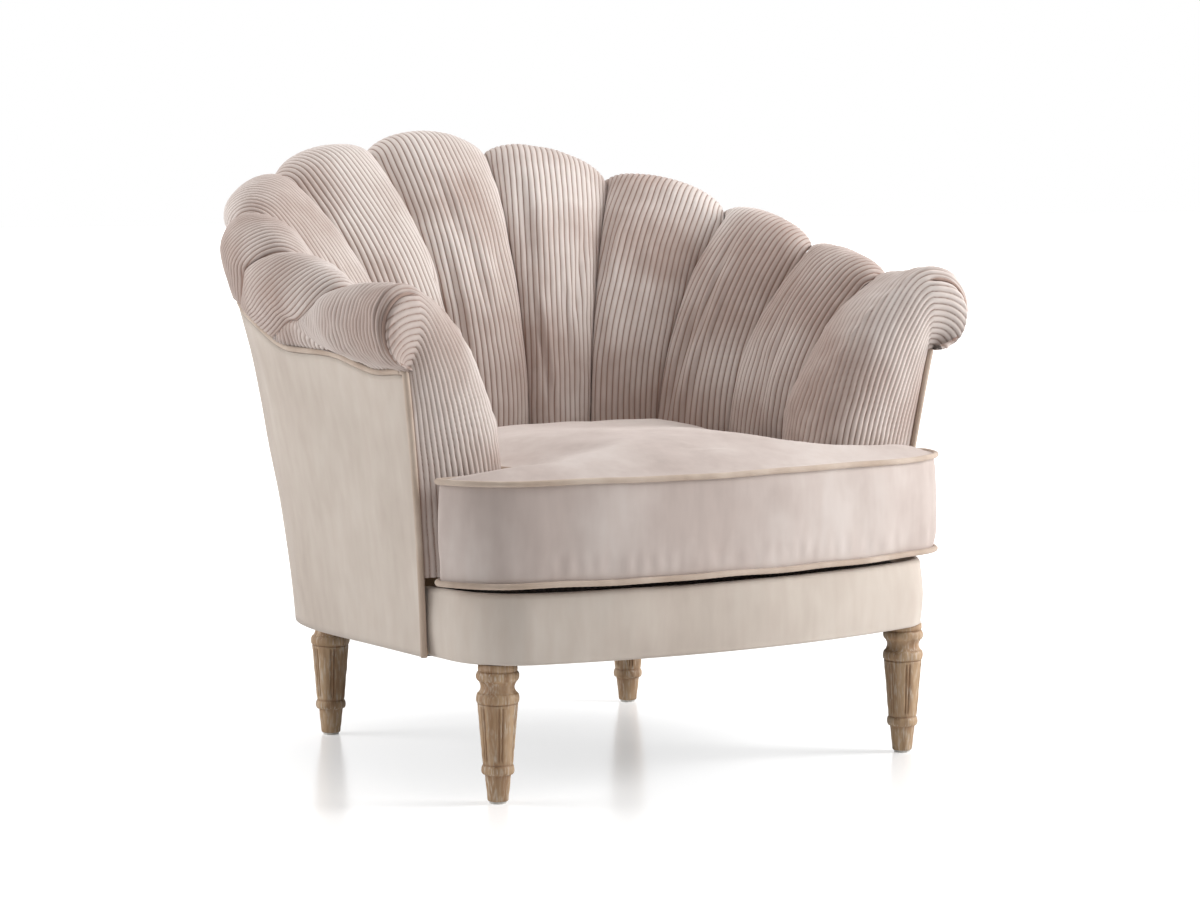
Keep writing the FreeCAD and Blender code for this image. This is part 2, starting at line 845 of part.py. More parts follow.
def cushion_outline(inset):
    """T-shaped outline, as points drawn in along their own normals"""
    front = bowed_path(cushion_ear_x, Vector(*cushion_corner, 0), cushion_bow_y, arm_front_y, 0)[2:-2]
    side = cushion_side()
    points = [Vector(-point.x, point.y, 0) for point in side] + front[::-1] + side[::-1]
    moved = []
    for number, point in enumerate(points):
        before, after = points[number - 1], points[(number + 1) % len(points)]
        first, second = (point - before).normalize(), (after - point).normalize()
        inward = Vector(-first.y - second.y, first.x + second.x, 0).normalize()
        stretch = 1 / max(miter_share, math.sqrt((1 + first.dot(second)) / 2))
        moved.append(point + inward * (inset * stretch))
    return moved


def edge_distance(point, outline):
    nearest = cushion_ear_x
    for first, second in zip(outline, outline[1:] + outline[:1]):
        run = second - first
        share = max(0.0, min(1.0, (point - first).dot(run) / run.dot(run)))
        nearest = min(nearest, (first + run * share).distanceToPoint(point))
    return nearest


def cushion_solid(inset, shares, lower_shares):
    """Crowned cushion with a flat belly and drawn-in sides, shrunk by an inset all round"""
    outline = cushion_outline(inset + seam_depth)
    middle = Vector(0, cushion_middle_y, 0)

    def panel(steps, edge_height, rise):
        rings = []
        for share in steps:
            ring = []
            for point in outline:
                flat = middle + (point - middle) * (1 - share)
                full = math.sin(math.pi / 2 * min(1.0, edge_distance(flat, outline) / crown_run))
                ring.append(flat + Vector(0, 0, edge_height + (rise - inset) * full))
            rings.append(ring)
        tip = middle + Vector(0, 0, edge_height + rise - inset)
        return rings, tip

    belly = bottom_seam - cushion_bottom + cushion_belly - inset
    lower, lower_tip = panel(lower_shares[::-1], bottom_seam, 0)
    lower = [[point - Vector(0, 0, belly * math.sin(math.pi / 2 * min(1.0, edge_distance(
        Vector(point.x, point.y, 0), outline) / belly_run))) for point in ring] for ring in lower]
    lower_tip = middle + Vector(0, 0, bottom_seam - belly)
    upper, upper_tip = panel(shares, top_seam, cushion_crown)
    sides = []
    tape = zip_tape_height / 2
    drawn = piping_radius + cushion_draw_in
    for height, depth in ((bottom_seam + seam_depth, piping_radius), (zip_height - tape, drawn),
                          (zip_height + tape, drawn), (top_seam - seam_depth, piping_radius)):
        sides.append(raised(cushion_outline(inset + depth), height))
    return faceted_loft(lower + sides + upper, tips=(lower_tip, upper_tip))


def hollow(outer, inner):
    """Solid between two closed skins, one wholly inside the other"""
    return Part.makeSolid(Part.makeCompound([outer.Shells[0], inner.Shells[0].reversed()]))


def cushion_piping(height):
    rings = []
    outer, inner = cushion_outline(0), cushion_outline(2 * piping_radius)
    for first, second in zip(outer, inner):
        centre = (first + second) * 0.5 + Vector(0, 0, height)
        rings.append(tube_ring(centre, (first - second) * (0.5 / piping_radius), piping_radius, welt_sides))
    return faceted_loft(rings, closed=True)


def zip_length():
    return 2 * (cushion_side()[0].x - zip_margin)


def zip_block(length, height, near, far, x=0.0):
    """Block on the cushion's rear boxing, from one distance to another off its face"""
    face = cushion_side()[0].y - piping_radius - cushion_draw_in
    z = zip_height
    return box_between(Vector(x - length / 2, face + near, z - height / 2),
                       Vector(x + length / 2, face + far, z + height / 2))


def zip_slider():
    """Slider round the teeth, parked at one end, with its pull hanging down"""
    teeth_far = zip_tape_thickness + zip_teeth_thickness
    far = zip_tape_thickness + touch + slider_thickness
    x = (zip_length() - slider_length) / 2 - overrun
    body = zip_block(slider_length, slider_width, zip_tape_thickness + touch, far, x)
    body = body.cut(zip_block(slider_length + overrun, zip_teeth_height + 2 * touch, 0, teeth_far + touch, x))
    pull = zip_block(slider_pull_width, slider_pull_length, far, far + slider_pull_thickness, x)
    pull.translate(Vector(0, 0, (slider_width - slider_pull_length) / 2))
    return body.fuse(pull)


# Legs

def leg_rings():
    """Heights and radii down the leg, each with its share of the flutes' depth"""
    bead_top = leg_height - leg_top_collar
    neck_top = bead_top - upper_bead
    neck_foot = neck_top - neck_length
    taper_top = neck_foot - lower_bead
    ring_top = tip_height + ring_height

    def taper_radius(height):
        share = (height - ring_top) / (taper_top - ring_top)
        return taper_end_radius + (taper_top_radius - taper_end_radius) * share

    flute_top, flute_foot = taper_top - flute_end_gap, ring_top + flute_end_gap
    return [
        (leg_height, leg_top_radius, 0), (bead_top, leg_top_radius, 0),
        (bead_top - upper_bead / 2, bead_radius, 0),
        (neck_top, leg_top_radius, 0), (neck_top - neck_length / 2, neck_radius, 0),
        (neck_foot, leg_top_radius, 0), (neck_foot - lower_bead / 2, bead_radius, 0),
        (taper_top, taper_top_radius, 0), (flute_top, taper_radius(flute_top), 0),
        (flute_top - flute_depth, taper_radius(flute_top - flute_depth), 1),
        (flute_foot + flute_depth, taper_radius(flute_foot + flute_depth), 1),
        (flute_foot, taper_radius(flute_foot), 0), (ring_top, taper_end_radius, 0),
        (ring_top - ring_height / 2, ring_radius, 0), (tip_height, tip_top_radius, 0),
        (glide_height, tip_end_radius, 0),
    ]


def leg():
    """Turned leg with pairs of flutes, a thin bead between the two of each pair"""
    rings = []
    for height, radius, fluting in leg_rings():
        ring = []
        for pair in range(flute_pairs):
            for turn, share in flute_section:
                angle = math.radians(360 * pair / flute_pairs + turn)
                reach = radius - flute_depth * share * fluting
                ring.append(Vector(reach * math.cos(angle), reach * math.sin(angle), height))
        rings.append(ring)
    bore = round_bar(bolt_radius + bolt_clearance, bolt_length, 0, 0, bolt_foot)
    return faceted_loft(rings[::-1]).cut(bore)


os.makedirs("parts", exist_ok=True)

# Channels, counted from the sitter's right arm round the back to the left arm
left_post = arm_post()
left_arm = arm_channel().cut(arm_post(touch)).cut(arm_bar(touch))
channels = [mirrored(left_arm)]
channels += [channel(number - half_count) for number in range(1, channel_count - 1)]
channels.append(left_arm)
for number, stuffed in enumerate(channels):
    save("channel_%02d" % (number + 1), stuffed)

# Outside covers and welts
back_cover = cover(places_between(-cover_split_count, cover_split_count))
left_cover = cover(places_between(cover_split_count, half_count + 0.5))
save("outside_back", back_cover)
save("outside_arm_left", left_cover)
save("outside_arm_right", mirrored(left_cover))
back_welt = crest_welt()
save("welt_crest", back_welt)
save("welt_front_left", front_welt())
save("welt_front_right", mirrored(front_welt()))

# Wooden frame
ribs = []
covers = [back_cover, left_cover, mirrored(left_cover), back_welt]
for number in range(channel_count - 1):
    board = rib(number - last_valley)
    for soft in channels[number:number + 2] + covers:
        board = board.cut(soft)
    ribs.append(largest(board))
    save("rib_%02d" % (number + 1), ribs[-1])

save("crest_bars", rib_bars(ribs, crest_reach, roll_height, bar_size, bar_size))
save("tack_bars", rib_bars(ribs, tack_reach, tack_height, tack_bar_depth, tack_bar_height))
left_bar = largest(arm_bar().cut(ribs[-1]).cut(left_post))
save("arm_bars", [left_bar, mirrored(left_bar)])
save("arm_post_left", left_post)
save("arm_post_right", mirrored(left_post))

bolts = []
holes = []
for x, y in leg_spots():
    bolts.append(round_bar(bolt_radius, bolt_length, x, y, bolt_foot))
    holes.append(round_bar(bolt_radius + bolt_clearance, bolt_length + bolt_clearance, x, y, bolt_foot))
holes = Part.makeCompound(holes)
save("leg_bolts", bolts)

front_rail = rail_ring(-crest_depth, rail_joint_y).cut(holes)
left_rail = one_side(rail_ring(rail_joint_y, side_rail_end)).cut(holes)
back_rail = rail_ring(side_rail_end, crest_depth).cut(holes)
save("front_rail", front_rail)
save("side_rail_left", left_rail)
save("side_rail_right", mirrored(left_rail))
save("back_rail", back_rail)
front_block = corner_block(leg_front, True).cut(holes)
back_block = corner_block(leg_back, False).cut(holes)
save("corner_blocks", [front_block, mirrored(front_block), back_block, mirrored(back_block)])

# Legs
turned_leg = leg()
glides = []
for name, spot in zip(("front_left", "front_right", "back_left", "back_right"), leg_spots()):
    save("leg_" + name, turned_leg.translated(Vector(*spot, 0)))
    glides.append(round_bar(glide_radius, glide_height, *spot, 0))
save("glides", glides)

# Seat deck and apron
reach = crest_depth
save("webbing_long", webbing(True, reach, webbing_long_places, rail_top))
save("webbing_cross", webbing(False, reach, webbing_cross_places, rail_top + webbing_thickness))
save("deck_pad", deck(webbing_top, deck_pad_top - webbing_top))
save("deck_cloth", deck(deck_pad_top, deck_cloth_thickness))
save("dust_cover", dust_cover())
save("apron", apron())

# Seat cushion
cover_skin = hollow(cushion_solid(0, panel_shares, belly_shares),
                    cushion_solid(cushion_cover_thickness, inner_shares, belly_shares))
save("cushion_cover", cover_skin)
save("cushion_foam", cushion_solid(cushion_cover_thickness + touch, inner_shares, belly_shares))
save("cushion_piping_bottom", cushion_piping(bottom_seam))
save("cushion_piping_top", cushion_piping(top_seam))
save("zip_tape", zip_block(zip_length(), zip_tape_height, 0, zip_tape_thickness))
save("zip_teeth", zip_block(zip_length(), zip_teeth_height, zip_tape_thickness,
                            zip_tape_thickness + zip_teeth_thickness))
save("zip_slider", zip_slider())
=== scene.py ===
import json
import math

import bmesh
import bpy
import numpy as np
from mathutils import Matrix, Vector


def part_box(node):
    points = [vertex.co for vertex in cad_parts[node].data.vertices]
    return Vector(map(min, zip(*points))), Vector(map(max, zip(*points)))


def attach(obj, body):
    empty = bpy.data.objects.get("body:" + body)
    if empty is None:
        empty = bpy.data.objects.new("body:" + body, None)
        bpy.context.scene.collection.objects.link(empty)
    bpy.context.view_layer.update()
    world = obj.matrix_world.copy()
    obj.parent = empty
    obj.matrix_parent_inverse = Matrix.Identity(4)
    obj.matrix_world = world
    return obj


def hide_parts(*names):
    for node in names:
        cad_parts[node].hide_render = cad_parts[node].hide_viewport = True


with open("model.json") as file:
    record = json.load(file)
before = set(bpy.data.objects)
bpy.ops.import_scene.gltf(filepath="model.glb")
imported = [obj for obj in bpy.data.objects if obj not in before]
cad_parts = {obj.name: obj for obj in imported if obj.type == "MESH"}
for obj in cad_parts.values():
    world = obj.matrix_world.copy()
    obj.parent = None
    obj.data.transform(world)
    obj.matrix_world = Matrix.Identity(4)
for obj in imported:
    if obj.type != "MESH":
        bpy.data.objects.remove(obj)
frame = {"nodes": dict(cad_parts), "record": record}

# Channel-back lounge chair, in metres. The sizes repeat the driving sizes of the solids
PLAN_CENTRE = np.array([0.0, -0.043, 0.0])
CREST_HALF_WIDTH, CREST_DEPTH, CREST_SQUARE, CREST_FRONT = 0.432, 0.425, 2.35, 0.115
INSIDE_HALF_WIDTH, INSIDE_DEPTH, INSIDE_SQUARE, INSIDE_SETBACK, INSIDE_FRONT = 0.330, 0.262, 2.5, 0.030, 0.050
FOOT_HALF_WIDTH, FOOT_DEPTH, FOOT_SQUARE = 0.382, 0.352, 2.7
ARM_FRONT_Y = -0.190
SKIRT_Z = 0.180
SEAT_LINE = 0.400
CHANNEL_FOOT = 0.284
ARM_ROLL, BACK_ROLL = 0.612, 0.804
ARM_WELT, BACK_WELT = 0.553, 0.675
LAST_VALLEY = 4.5
STATIONS = [0.0, 0.5, 1.5, 2.5, 3.5, 4.5]
SEAT_SHARES = [0.0, 0.110, 0.311, 0.515, 0.744, 1.0]
CREST_SHARES = [0.0, 0.126, 0.364, 0.602, 0.810, 1.0]
RISE_SHARES = [1.0, 0.865, 0.62, 0.34, 0.085, 0.0]
WELT_RISE = [1.0, 1.0, 0.79, 0.51, 0.21, 0.03]
BULGE, VALLEY_RADIUS, CREST_RADIUS, OUTER_FILL = 0.026, 0.013, 0.057, 0.031
LEAN = [0.0, 0.08, 0.28, 0.56, 0.90, 1.20]
CORNER_X = 0.257
CORNER_CENTRE = (0.430, -0.236)
CORNER_RADIUS, CORNER_SHARE, CORNER_END = 0.053, 0.62, 0.5563
EDGE_TOP, EDGE_FOOT, EDGE_HOLLOW = (0.430, -0.232), (0.384, -0.198), 0.004
WELT_RADIUS = 0.0045
COVER_THICKNESS = 0.004
RIB_PITCH = 0.0088
RIB_HEIGHT = 0.0017
RIB_MEAN = 0.75  # a ridge's mean height, so that ribs don't thicken the stuffing
END_RISE = 0.0096  # from the welt's line up to the ends of the channels
END_SWELL, CORNER_END_REACH = 0.006, 0.003

# Plan curves and the profiles of the channels


def unit(value):
    return np.clip(value, 0, 1)


def unit_vectors(vectors):
    return vectors / np.linalg.norm(vectors, axis=-1, keepdims=True)


def eased(value, results):
    """Smooth line through results that stand at 0, 1, 2 and so on"""
    results = np.array(results)
    last = len(results) - 1
    low = np.minimum(np.asarray(value).astype(int), last - 1)
    t = value - low
    start, end = results[low], results[low + 1]
    before, after = results[np.maximum(0, low - 1)], results[np.minimum(last, low + 2)]
    tilt_in = np.where(low > 0, (end - before) / 2, 0.0)
    tilt_out = np.where(low < last - 1, (after - start) / 2, 0.0)
    return (start * (1 - t) ** 2 * (1 + 2 * t) + end * t ** 2 * (3 - 2 * t)
            + tilt_in * t * (1 - t) ** 2 - tilt_out * t ** 2 * (1 - t))


class PlanCurve:
    """Half of a round plan, from the middle of the back to the front end of an arm"""

    def __init__(self, half_width, depth, squareness, setback, front):
        turn = np.linspace(0, math.pi / 2, 241)
        x = half_width * np.sin(turn) ** (2 / squareness)
        y = depth * unit(np.cos(turn)) ** (2 / squareness) - setback
        self.x, self.y = np.append(x, half_width), np.append(y, -front)
        self.along = np.append(0, np.cumsum(np.hypot(np.diff(self.x), np.diff(self.y))))

    def at(self, share):
        along = share * self.along[-1]
        return np.stack([np.interp(along, self.along, self.x), np.interp(along, self.along, self.y)], axis=-1)


INSIDE_PLAN = PlanCurve(INSIDE_HALF_WIDTH, INSIDE_DEPTH, INSIDE_SQUARE, INSIDE_SETBACK, INSIDE_FRONT)
CREST_PLAN = PlanCurve(CREST_HALF_WIDTH, CREST_DEPTH, CREST_SQUARE, 0.0, CREST_FRONT)


def plan_stations(place):
    """Seat point and roll centre on the plan at a place counted in channels from the middle"""
    size = np.abs(place)
    side = np.stack([np.where(np.asarray(place) < 0, -1.0, 1.0), np.ones(np.shape(place))], axis=-1)
    seat = INSIDE_PLAN.at(np.interp(size, STATIONS, SEAT_SHARES)) * side
    crest = CREST_PLAN.at(np.interp(size, STATIONS, CREST_SHARES)) * side
    return seat, crest


def direction(seat, crest):
    run = crest - seat
    reach = np.linalg.norm(run, axis=-1)
    return run / reach[..., None], reach


def drawn_in(places, inset):
    """Seat points at some places, moved in from the channels"""
    seats, crests = plan_stations(places)
    return list(seats - direction(seats, crests)[0] * inset)


def roll_height(place):
    return ARM_ROLL + (BACK_ROLL - ARM_ROLL) * eased(np.abs(place), RISE_SHARES)


def welt_height(place):
    return ARM_WELT + (BACK_WELT - ARM_WELT) * np.interp(np.abs(place), STATIONS, WELT_RISE)


def welt_offset(place):
    return np.interp(np.abs(place), [0.0, 3.0, 4.5], [0.030, 0.030, 0.004])


DIP_PLACES = np.array([0.0, 2.9, 3.4, 4.25, 4.95, 5.46])
DIPS = np.array([0.0, 0.0, -0.0140, -0.0015, -0.0110, -0.0065])
LAST_DIPPED = 5.459


def welt_dip(place):
    """The crest welt hangs in two soft waves along the arm, under the ends of the channels"""
    size = np.clip(np.abs(place), 0, LAST_DIPPED)
    index = np.searchsorted(DIP_PLACES, size, side="right") - 1
    t = (size - DIP_PLACES[index]) / (DIP_PLACES[index + 1] - DIP_PLACES[index])
    return DIPS[index] + (DIPS[index + 1] - DIPS[index]) * t * t * (3 - 2 * t)


def channel_end(place):
    return welt_height(place) + END_RISE + welt_dip(place)


FLARE_END, ROLL_END, LINE_END = 6.0, 13.0, 14.0
TAIL_WEIGHT = 2.5
VALLEY_PAD = 0.08  # share of the stuffing that also covers the ribs in the valleys


def roll_section(seat, centre, radius, height, end_reach, end_height, stop):
    """Points at the stops of a section that stands on a seat point and rolls over a centre"""
    outward, reach = direction(seat, centre)
    rise = height - SEAT_LINE
    flare = (reach ** 2 + rise ** 2 - radius ** 2) / (2 * (reach - radius))
    meeting = np.arctan2(rise, reach - flare)
    drop = end_height - height
    leaving = np.arctan2(drop, end_reach) + np.arccos(np.minimum(1.0, radius / np.hypot(end_reach, drop)))
    climb = unit((stop - 1) / (FLARE_END - 1))
    bend = math.pi + (meeting - math.pi) * climb
    along = flare + flare * np.cos(bend)
    up = SEAT_LINE + flare * np.sin(bend) - (SEAT_LINE - CHANNEL_FOOT) * unit(1 - stop)
    turn = meeting + (leaving - meeting) * unit((stop - FLARE_END) / (ROLL_END - FLARE_END))
    past = unit(stop - ROLL_END)
    roll_along, roll_up = reach + radius * np.cos(turn), height + radius * np.sin(turn)
    roll_along += (reach + end_reach - roll_along) * past
    roll_up += (end_height - roll_up) * past
    along = np.where(stop < FLARE_END, along, roll_along)
    up = np.where(stop < FLARE_END, up, roll_up)
    flat = seat + outward * along[..., None]
    return np.concatenate([flat, up[..., None]], axis=-1)


def leaned(place, stop):
    """Place of a channel's line at a stop: over the roll the channels sweep back along the arm"""
    run = np.clip(stop - FLARE_END, 0, ROLL_END - FLARE_END) + TAIL_WEIGHT * unit(stop - ROLL_END)
    sweep = (run / (ROLL_END - FLARE_END + TAIL_WEIGHT)) ** 1.8
    return place - np.sign(place) * np.interp(np.abs(place), STATIONS, LEAN) * sweep


FILL_STOPS, STOP_FILLS = [5.5, 7.0, 8.5, 9.5, 12.5], [0.0, 0.11, 0.42, 0.60, 1.0]
FILL_PLACES, PLACE_FILLS = [0.0, 1.5, 3.0, 4.0], [0.35, 0.50, 0.90, 1.15]


def valley_radius(place, stop):
    """The valleys are drawn in tight on the inside; they fill out behind, and more so on the arms"""
    return VALLEY_RADIUS + (OUTER_FILL * np.interp(stop, FILL_STOPS, STOP_FILLS)
                            * np.interp(np.abs(place), FILL_PLACES, PLACE_FILLS))


def channel_surface(place, fullness, stop):
    """Point of the stuffed back at a place and a stop, from a valley at fullness 0 to a crest at 1"""
    seat, crest = plan_stations(place)
    outward = direction(seat, crest)[0]
    tight = valley_radius(place, stop)
    fullness = VALLEY_PAD + (1 - VALLEY_PAD) * fullness
    return roll_section(seat - outward * (BULGE * fullness)[..., None], crest,
                        tight + (CREST_RADIUS - tight) * fullness, roll_height(place),
                        welt_offset(place) + END_SWELL * fullness, channel_end(place), stop)


CORNER_START = np.array([CORNER_X, ARM_FRONT_Y])


def corner_line(stops):
    """Line over the arm's front corner, where its side meets its face"""
    return roll_section(CORNER_START, np.array(CORNER_CENTRE), CORNER_RADIUS, ARM_ROLL, CORNER_END_REACH,
                        CORNER_END, stops)


def arm_edge(height):
    share = (height - SKIRT_Z) / (ARM_WELT - SKIRT_Z)
    x = EDGE_FOOT[0] + (EDGE_TOP[0] - EDGE_FOOT[0]) * share - EDGE_HOLLOW * 4 * share * (1 - share)
    return np.array([x, EDGE_FOOT[1] + (EDGE_TOP[1] - EDGE_FOOT[1]) * share, height])


BESIDE_WELT = np.array([-0.0068, -0.0048, 0])
LOOP_RUN, LOOP_CLIMB = np.array([0.0040, -0.0008, 0]), np.array([0, 0, 0.0002])


def front_line(stops):
    """Outer edge of the arm's front face: up beside the welt, then a small loop inside the scroll"""
    top = ARM_WELT + WELT_RADIUS + DIPS[-1]
    height = CHANNEL_FOOT + (top - CHANNEL_FOOT) * np.minimum(1, stops / FLARE_END)
    past = np.maximum(0, stops - FLARE_END)[:, None]
    return arm_edge(height).T + BESIDE_WELT + (LOOP_RUN * np.minimum(1, past / 2) + LOOP_CLIMB * past)


# Meshes from grids of points


def lengths_along(line):
    """Distance of each point of a line from its start"""
    return np.append(0, np.cumsum(np.linalg.norm(np.diff(line, axis=0), axis=1)))


def read_off(places, along, line):
    """Points of a line at given distances along it"""
    return np.stack([np.interp(places, along, line[:, axis]) for axis in range(line.shape[1])], axis=1)


def waves(points, length, seed, count=14):
    """Smooth seeded noise between about -1 and 1, with waves near one length"""
    state = np.random.RandomState(seed)
    total = np.zeros(points.shape[:-1])
    for number in range(count):
        axis = state.normal(size=3)
        axis *= 2 * math.pi / (np.linalg.norm(axis) * length * state.uniform(0.7, 1.5))
        total += np.cos(points @ axis + state.uniform(0, 2 * math.pi))
    return total / math.sqrt(count)


def densify(points, count):
    """Smooth line through points, resampled evenly"""
    points = np.asarray(points, dtype=float)
    padded = np.vstack([2 * points[0] - points[1], points, 2 * points[-1] - points[-2]])
    line = []
    for number in range(1, len(padded) - 2):
        before, start, end, after = padded[number - 1:number + 3]
        for t in np.linspace(0, 1, 24, endpoint=False):
            line.append(0.5 * (2 * start + (end - before) * t
                               + (2 * before - 5 * start + 4 * end - after) * t ** 2
                               + (3 * start - before - 3 * end + after) * t ** 3))
    line = np.array(line + [points[-1]])
    along = lengths_along(line)
    return read_off(np.linspace(0, along[-1], count), along, line)


def swells(points, seed, *layers):
    """Waves laid over each other; each layer has a height and a length"""
    return sum(height * waves(points, length, seed + number)
               for number, (height, length) in enumerate(layers))


def grid_normals(points, closed=False):
    """Unit normals of a grid of rows and columns"""
    if closed:
        along_u = np.roll(points, -1, axis=1) - np.roll(points, 1, axis=1)
    else:
        along_u = np.gradient(points, axis=1)
    along_v = np.gradient(points, axis=0)
    normals = np.cross(along_u, along_v)
    return normals / np.maximum(np.linalg.norm(normals, axis=2, keepdims=True), 1e-12)


def outer_normals(points, inside):
    """Normals that point away from a line inside the piece, and zero where columns fall together"""
    normals = grid_normals(points)
    normals[np.linalg.norm(np.gradient(points, axis=1), axis=2) < 1e-7] = 0
    return normals * np.sign(np.sum(normals * (points - inside[:, None])))


def grid_piece(name, points, material, closed=False, caps=False, rib=None, weld=0.0):
    """Mesh over a grid of points, each row a ring; where closed, the last row joins the first.
    rib is a value for each point that the material reads to paint shade into grooves"""
    rows, columns = points.shape[:2]
    numbers = np.arange(rows * columns).reshape(rows, columns)
    low = numbers if closed else numbers[:-1]
    high = np.roll(numbers, -1, axis=0)[:len(low)]
    low_next, high_next = np.roll(low, -1, axis=1), np.roll(high, -1, axis=1)
    faces = np.stack([low, low_next, high_next, high], axis=-1).reshape(-1, 4).tolist()
    if caps:
        faces.append(numbers[0][::-1].tolist())
        faces.append(numbers[-1].tolist())
    mesh = bpy.data.meshes.new(name)
    mesh.from_pydata((points + PLAN_CENTRE).reshape(-1, 3).tolist(), [], faces)
    if rib is not None:
        values = mesh.attributes.new("rib", "FLOAT", "POINT")
        values.data.foreach_set("value", rib.reshape(-1).astype(np.float32))
    mesh.materials.append(material)
    if weld:
        work = bmesh.new()
        work.from_mesh(mesh)
        bmesh.ops.remove_doubles(work, verts=work.verts, dist=weld)
        bmesh.ops.recalc_face_normals(work, faces=work.faces)
        work.to_mesh(mesh)
        work.free()
    mesh.polygons.foreach_set("use_smooth", [True] * len(mesh.polygons))
    mesh.update()
    piece = bpy.data.objects.new(name, mesh)
    bpy.context.scene.collection.objects.link(piece)
    return piece


def tube(name, path, radius, material, closed=False, sides=14, flat=None):
    """Cord round a path of points; radius may be a list, one for each point"""
    path = np.asarray(path, dtype=float)
    if closed:
        run = np.roll(path, -1, axis=0) - np.roll(path, 1, axis=0)
    else:
        run = np.gradient(path, axis=0)
    run = unit_vectors(run)
    up = np.array([0.0, 0.0, 1.0]) if flat is None else flat
    side = unit_vectors(np.cross(run, up))
    top = np.cross(side, run)
    turn = np.linspace(0, 2 * math.pi, sides, endpoint=False)
    radii = np.broadcast_to(np.asarray(radius, dtype=float), (len(path),))
    points = (path[:, None] + radii[:, None, None] * (side[:, None] * np.cos(turn)[None, :, None]
                                                     + top[:, None] * np.sin(turn)[None, :, None]))
    return grid_piece(name, points, material, closed=closed, caps=not closed)


def ridge(phase):
    """Round pleat with a sharp groove on each side, from 0 in the groove to 1 on top"""
    return 1 - np.abs(2 * np.mod(phase, 1.0) - 1) ** 2.6


# Materials


def grey(level):
    return (level,) * 3


def fill_in(tree, node, inputs):
    """Each named input takes a value, or a link where the value is a socket"""
    for name, value in inputs.items():
        if hasattr(value, "links"):
            tree.links.new(value, node.inputs[name])
        else:
            node.inputs[name].default_value = value


def add_node(tree, kind, inputs, **settings):
    """New shader node, of which the outputs come back"""
    node = tree.nodes.new("ShaderNode" + kind)
    for name, value in settings.items():
        setattr(node, name, value)
    fill_in(tree, node, inputs)
    return node.outputs


def new_material(name):
    material = bpy.data.materials.new(name)
    material.use_nodes = True
    return material, material.node_tree, material.node_tree.nodes["Principled BSDF"]


def object_place(tree):
    return add_node(tree, "TexCoord", {})["Object"]


def groove_shade_value(tree):
    return add_node(tree, "Attribute", {}, attribute_name="rib")["Fac"]


def noise(tree, scale, detail=3.0, stretch=None):
    place = object_place(tree)
    if stretch:
        place = add_node(tree, "Mapping", {"Vector": place, "Scale": stretch})["Vector"]
    return add_node(tree, "TexNoise", {"Vector": place, "Scale": scale, "Detail": detail})["Fac"]


def ramp(tree, source, stops):
    node = tree.nodes.new("ShaderNodeValToRGB")
    while len(node.color_ramp.elements) < len(stops):
        node.color_ramp.elements.new(0.5)
    for element, (place, colour) in zip(node.color_ramp.elements, stops):
        element.position = place
        element.color = (*colour, 1)
    tree.links.new(source, node.inputs["Fac"])
    return node.outputs["Color"]


def mix(tree, mode, factor, first, second):
    first, second = (value if hasattr(value, "links") else (*value, 1) for value in (first, second))
    return add_node(tree, "Mix", {"Factor": factor, "A": first, "B": second},
                    data_type="RGBA", blend_type=mode)["Result"]


def bump(tree, source, strength, distance):
    return add_node(tree, "Bump", {"Strength": strength, "Distance": distance, "Height": source})["Normal"]


def velvet(name, pale, deep, groove=None, sheen=0.35, nap=5.0):
    """Cut-pile cloth: cloudy nap, soft sheen at grazing angles and a fine pile. A groove colour, where given,
    is painted shade in the rib grooves
    """
    material, tree, shader = new_material(name)
    colour = ramp(tree, noise(tree, nap, 4.0), [(0.38, deep), (0.62, pale)])
    streak = ramp(tree, noise(tree, 60.0, 2.0, (1.0, 1.0, 0.25)), [(0.3, grey(0.35)), (0.7, grey(0.65))])
    colour = mix(tree, "OVERLAY", 0.16, colour, streak)
    # painted shade: the groove colour darkens the cloth where the rib value is low, in the grooves between
    # ribs and towards the seams
    if groove:
        depth = ramp(tree, groove_shade_value(tree), [(0.0, grey(1.0)), (0.62, grey(0.12)), (1.0, grey(0.0))])
        colour = mix(tree, "MIX", depth, colour, groove)
    fill_in(tree, shader, {"Base Color": colour, "Roughness": 0.88, "Specular IOR Level": 0.25,
                           "Sheen Weight": sheen, "Sheen Roughness": 0.35, "Sheen Tint": (1.0, 0.93, 0.90, 1),
                           "Normal": bump(tree, noise(tree, 1400.0, 2.0), 0.25, 0.0006)})
    return material


def wood(name, pale, deep, lime=None, groove=None):
    """Straight-grained wood; with a lime wash it keeps white in the pores, and a groove colour is painted
    shade in the cut grooves
    """
    material, tree, shader = new_material(name)
    grain = noise(tree, 90.0, 6.0, (1.0, 1.0, 0.09))
    colour = ramp(tree, grain, [(0.36, deep), (0.62, pale)])
    if lime:
        pores = ramp(tree, noise(tree, 420.0, 5.0, (1.0, 1.0, 0.10)), [(0.48, grey(0.0)), (0.66, grey(0.70))])
        patch = ramp(tree, noise(tree, 38.0), [(0.36, grey(0.15)), (0.6, grey(1.0))])
        colour = mix(tree, "MIX", mix(tree, "MULTIPLY", 1.0, pores, patch), colour, lime)
        # painted shade: the groove colour darkens the wood where the rib value is high, in the legs' coves
        # and flutes
        depth = ramp(tree, groove_shade_value(tree), [(0.0, grey(0.0)), (1.0, grey(0.85))])
        colour = mix(tree, "MIX", depth, colour, groove)
    fill_in(tree, shader, {"Base Color": colour, "Roughness": 0.62, "Normal": bump(tree, grain, 0.5, 0.0008)})
    return material


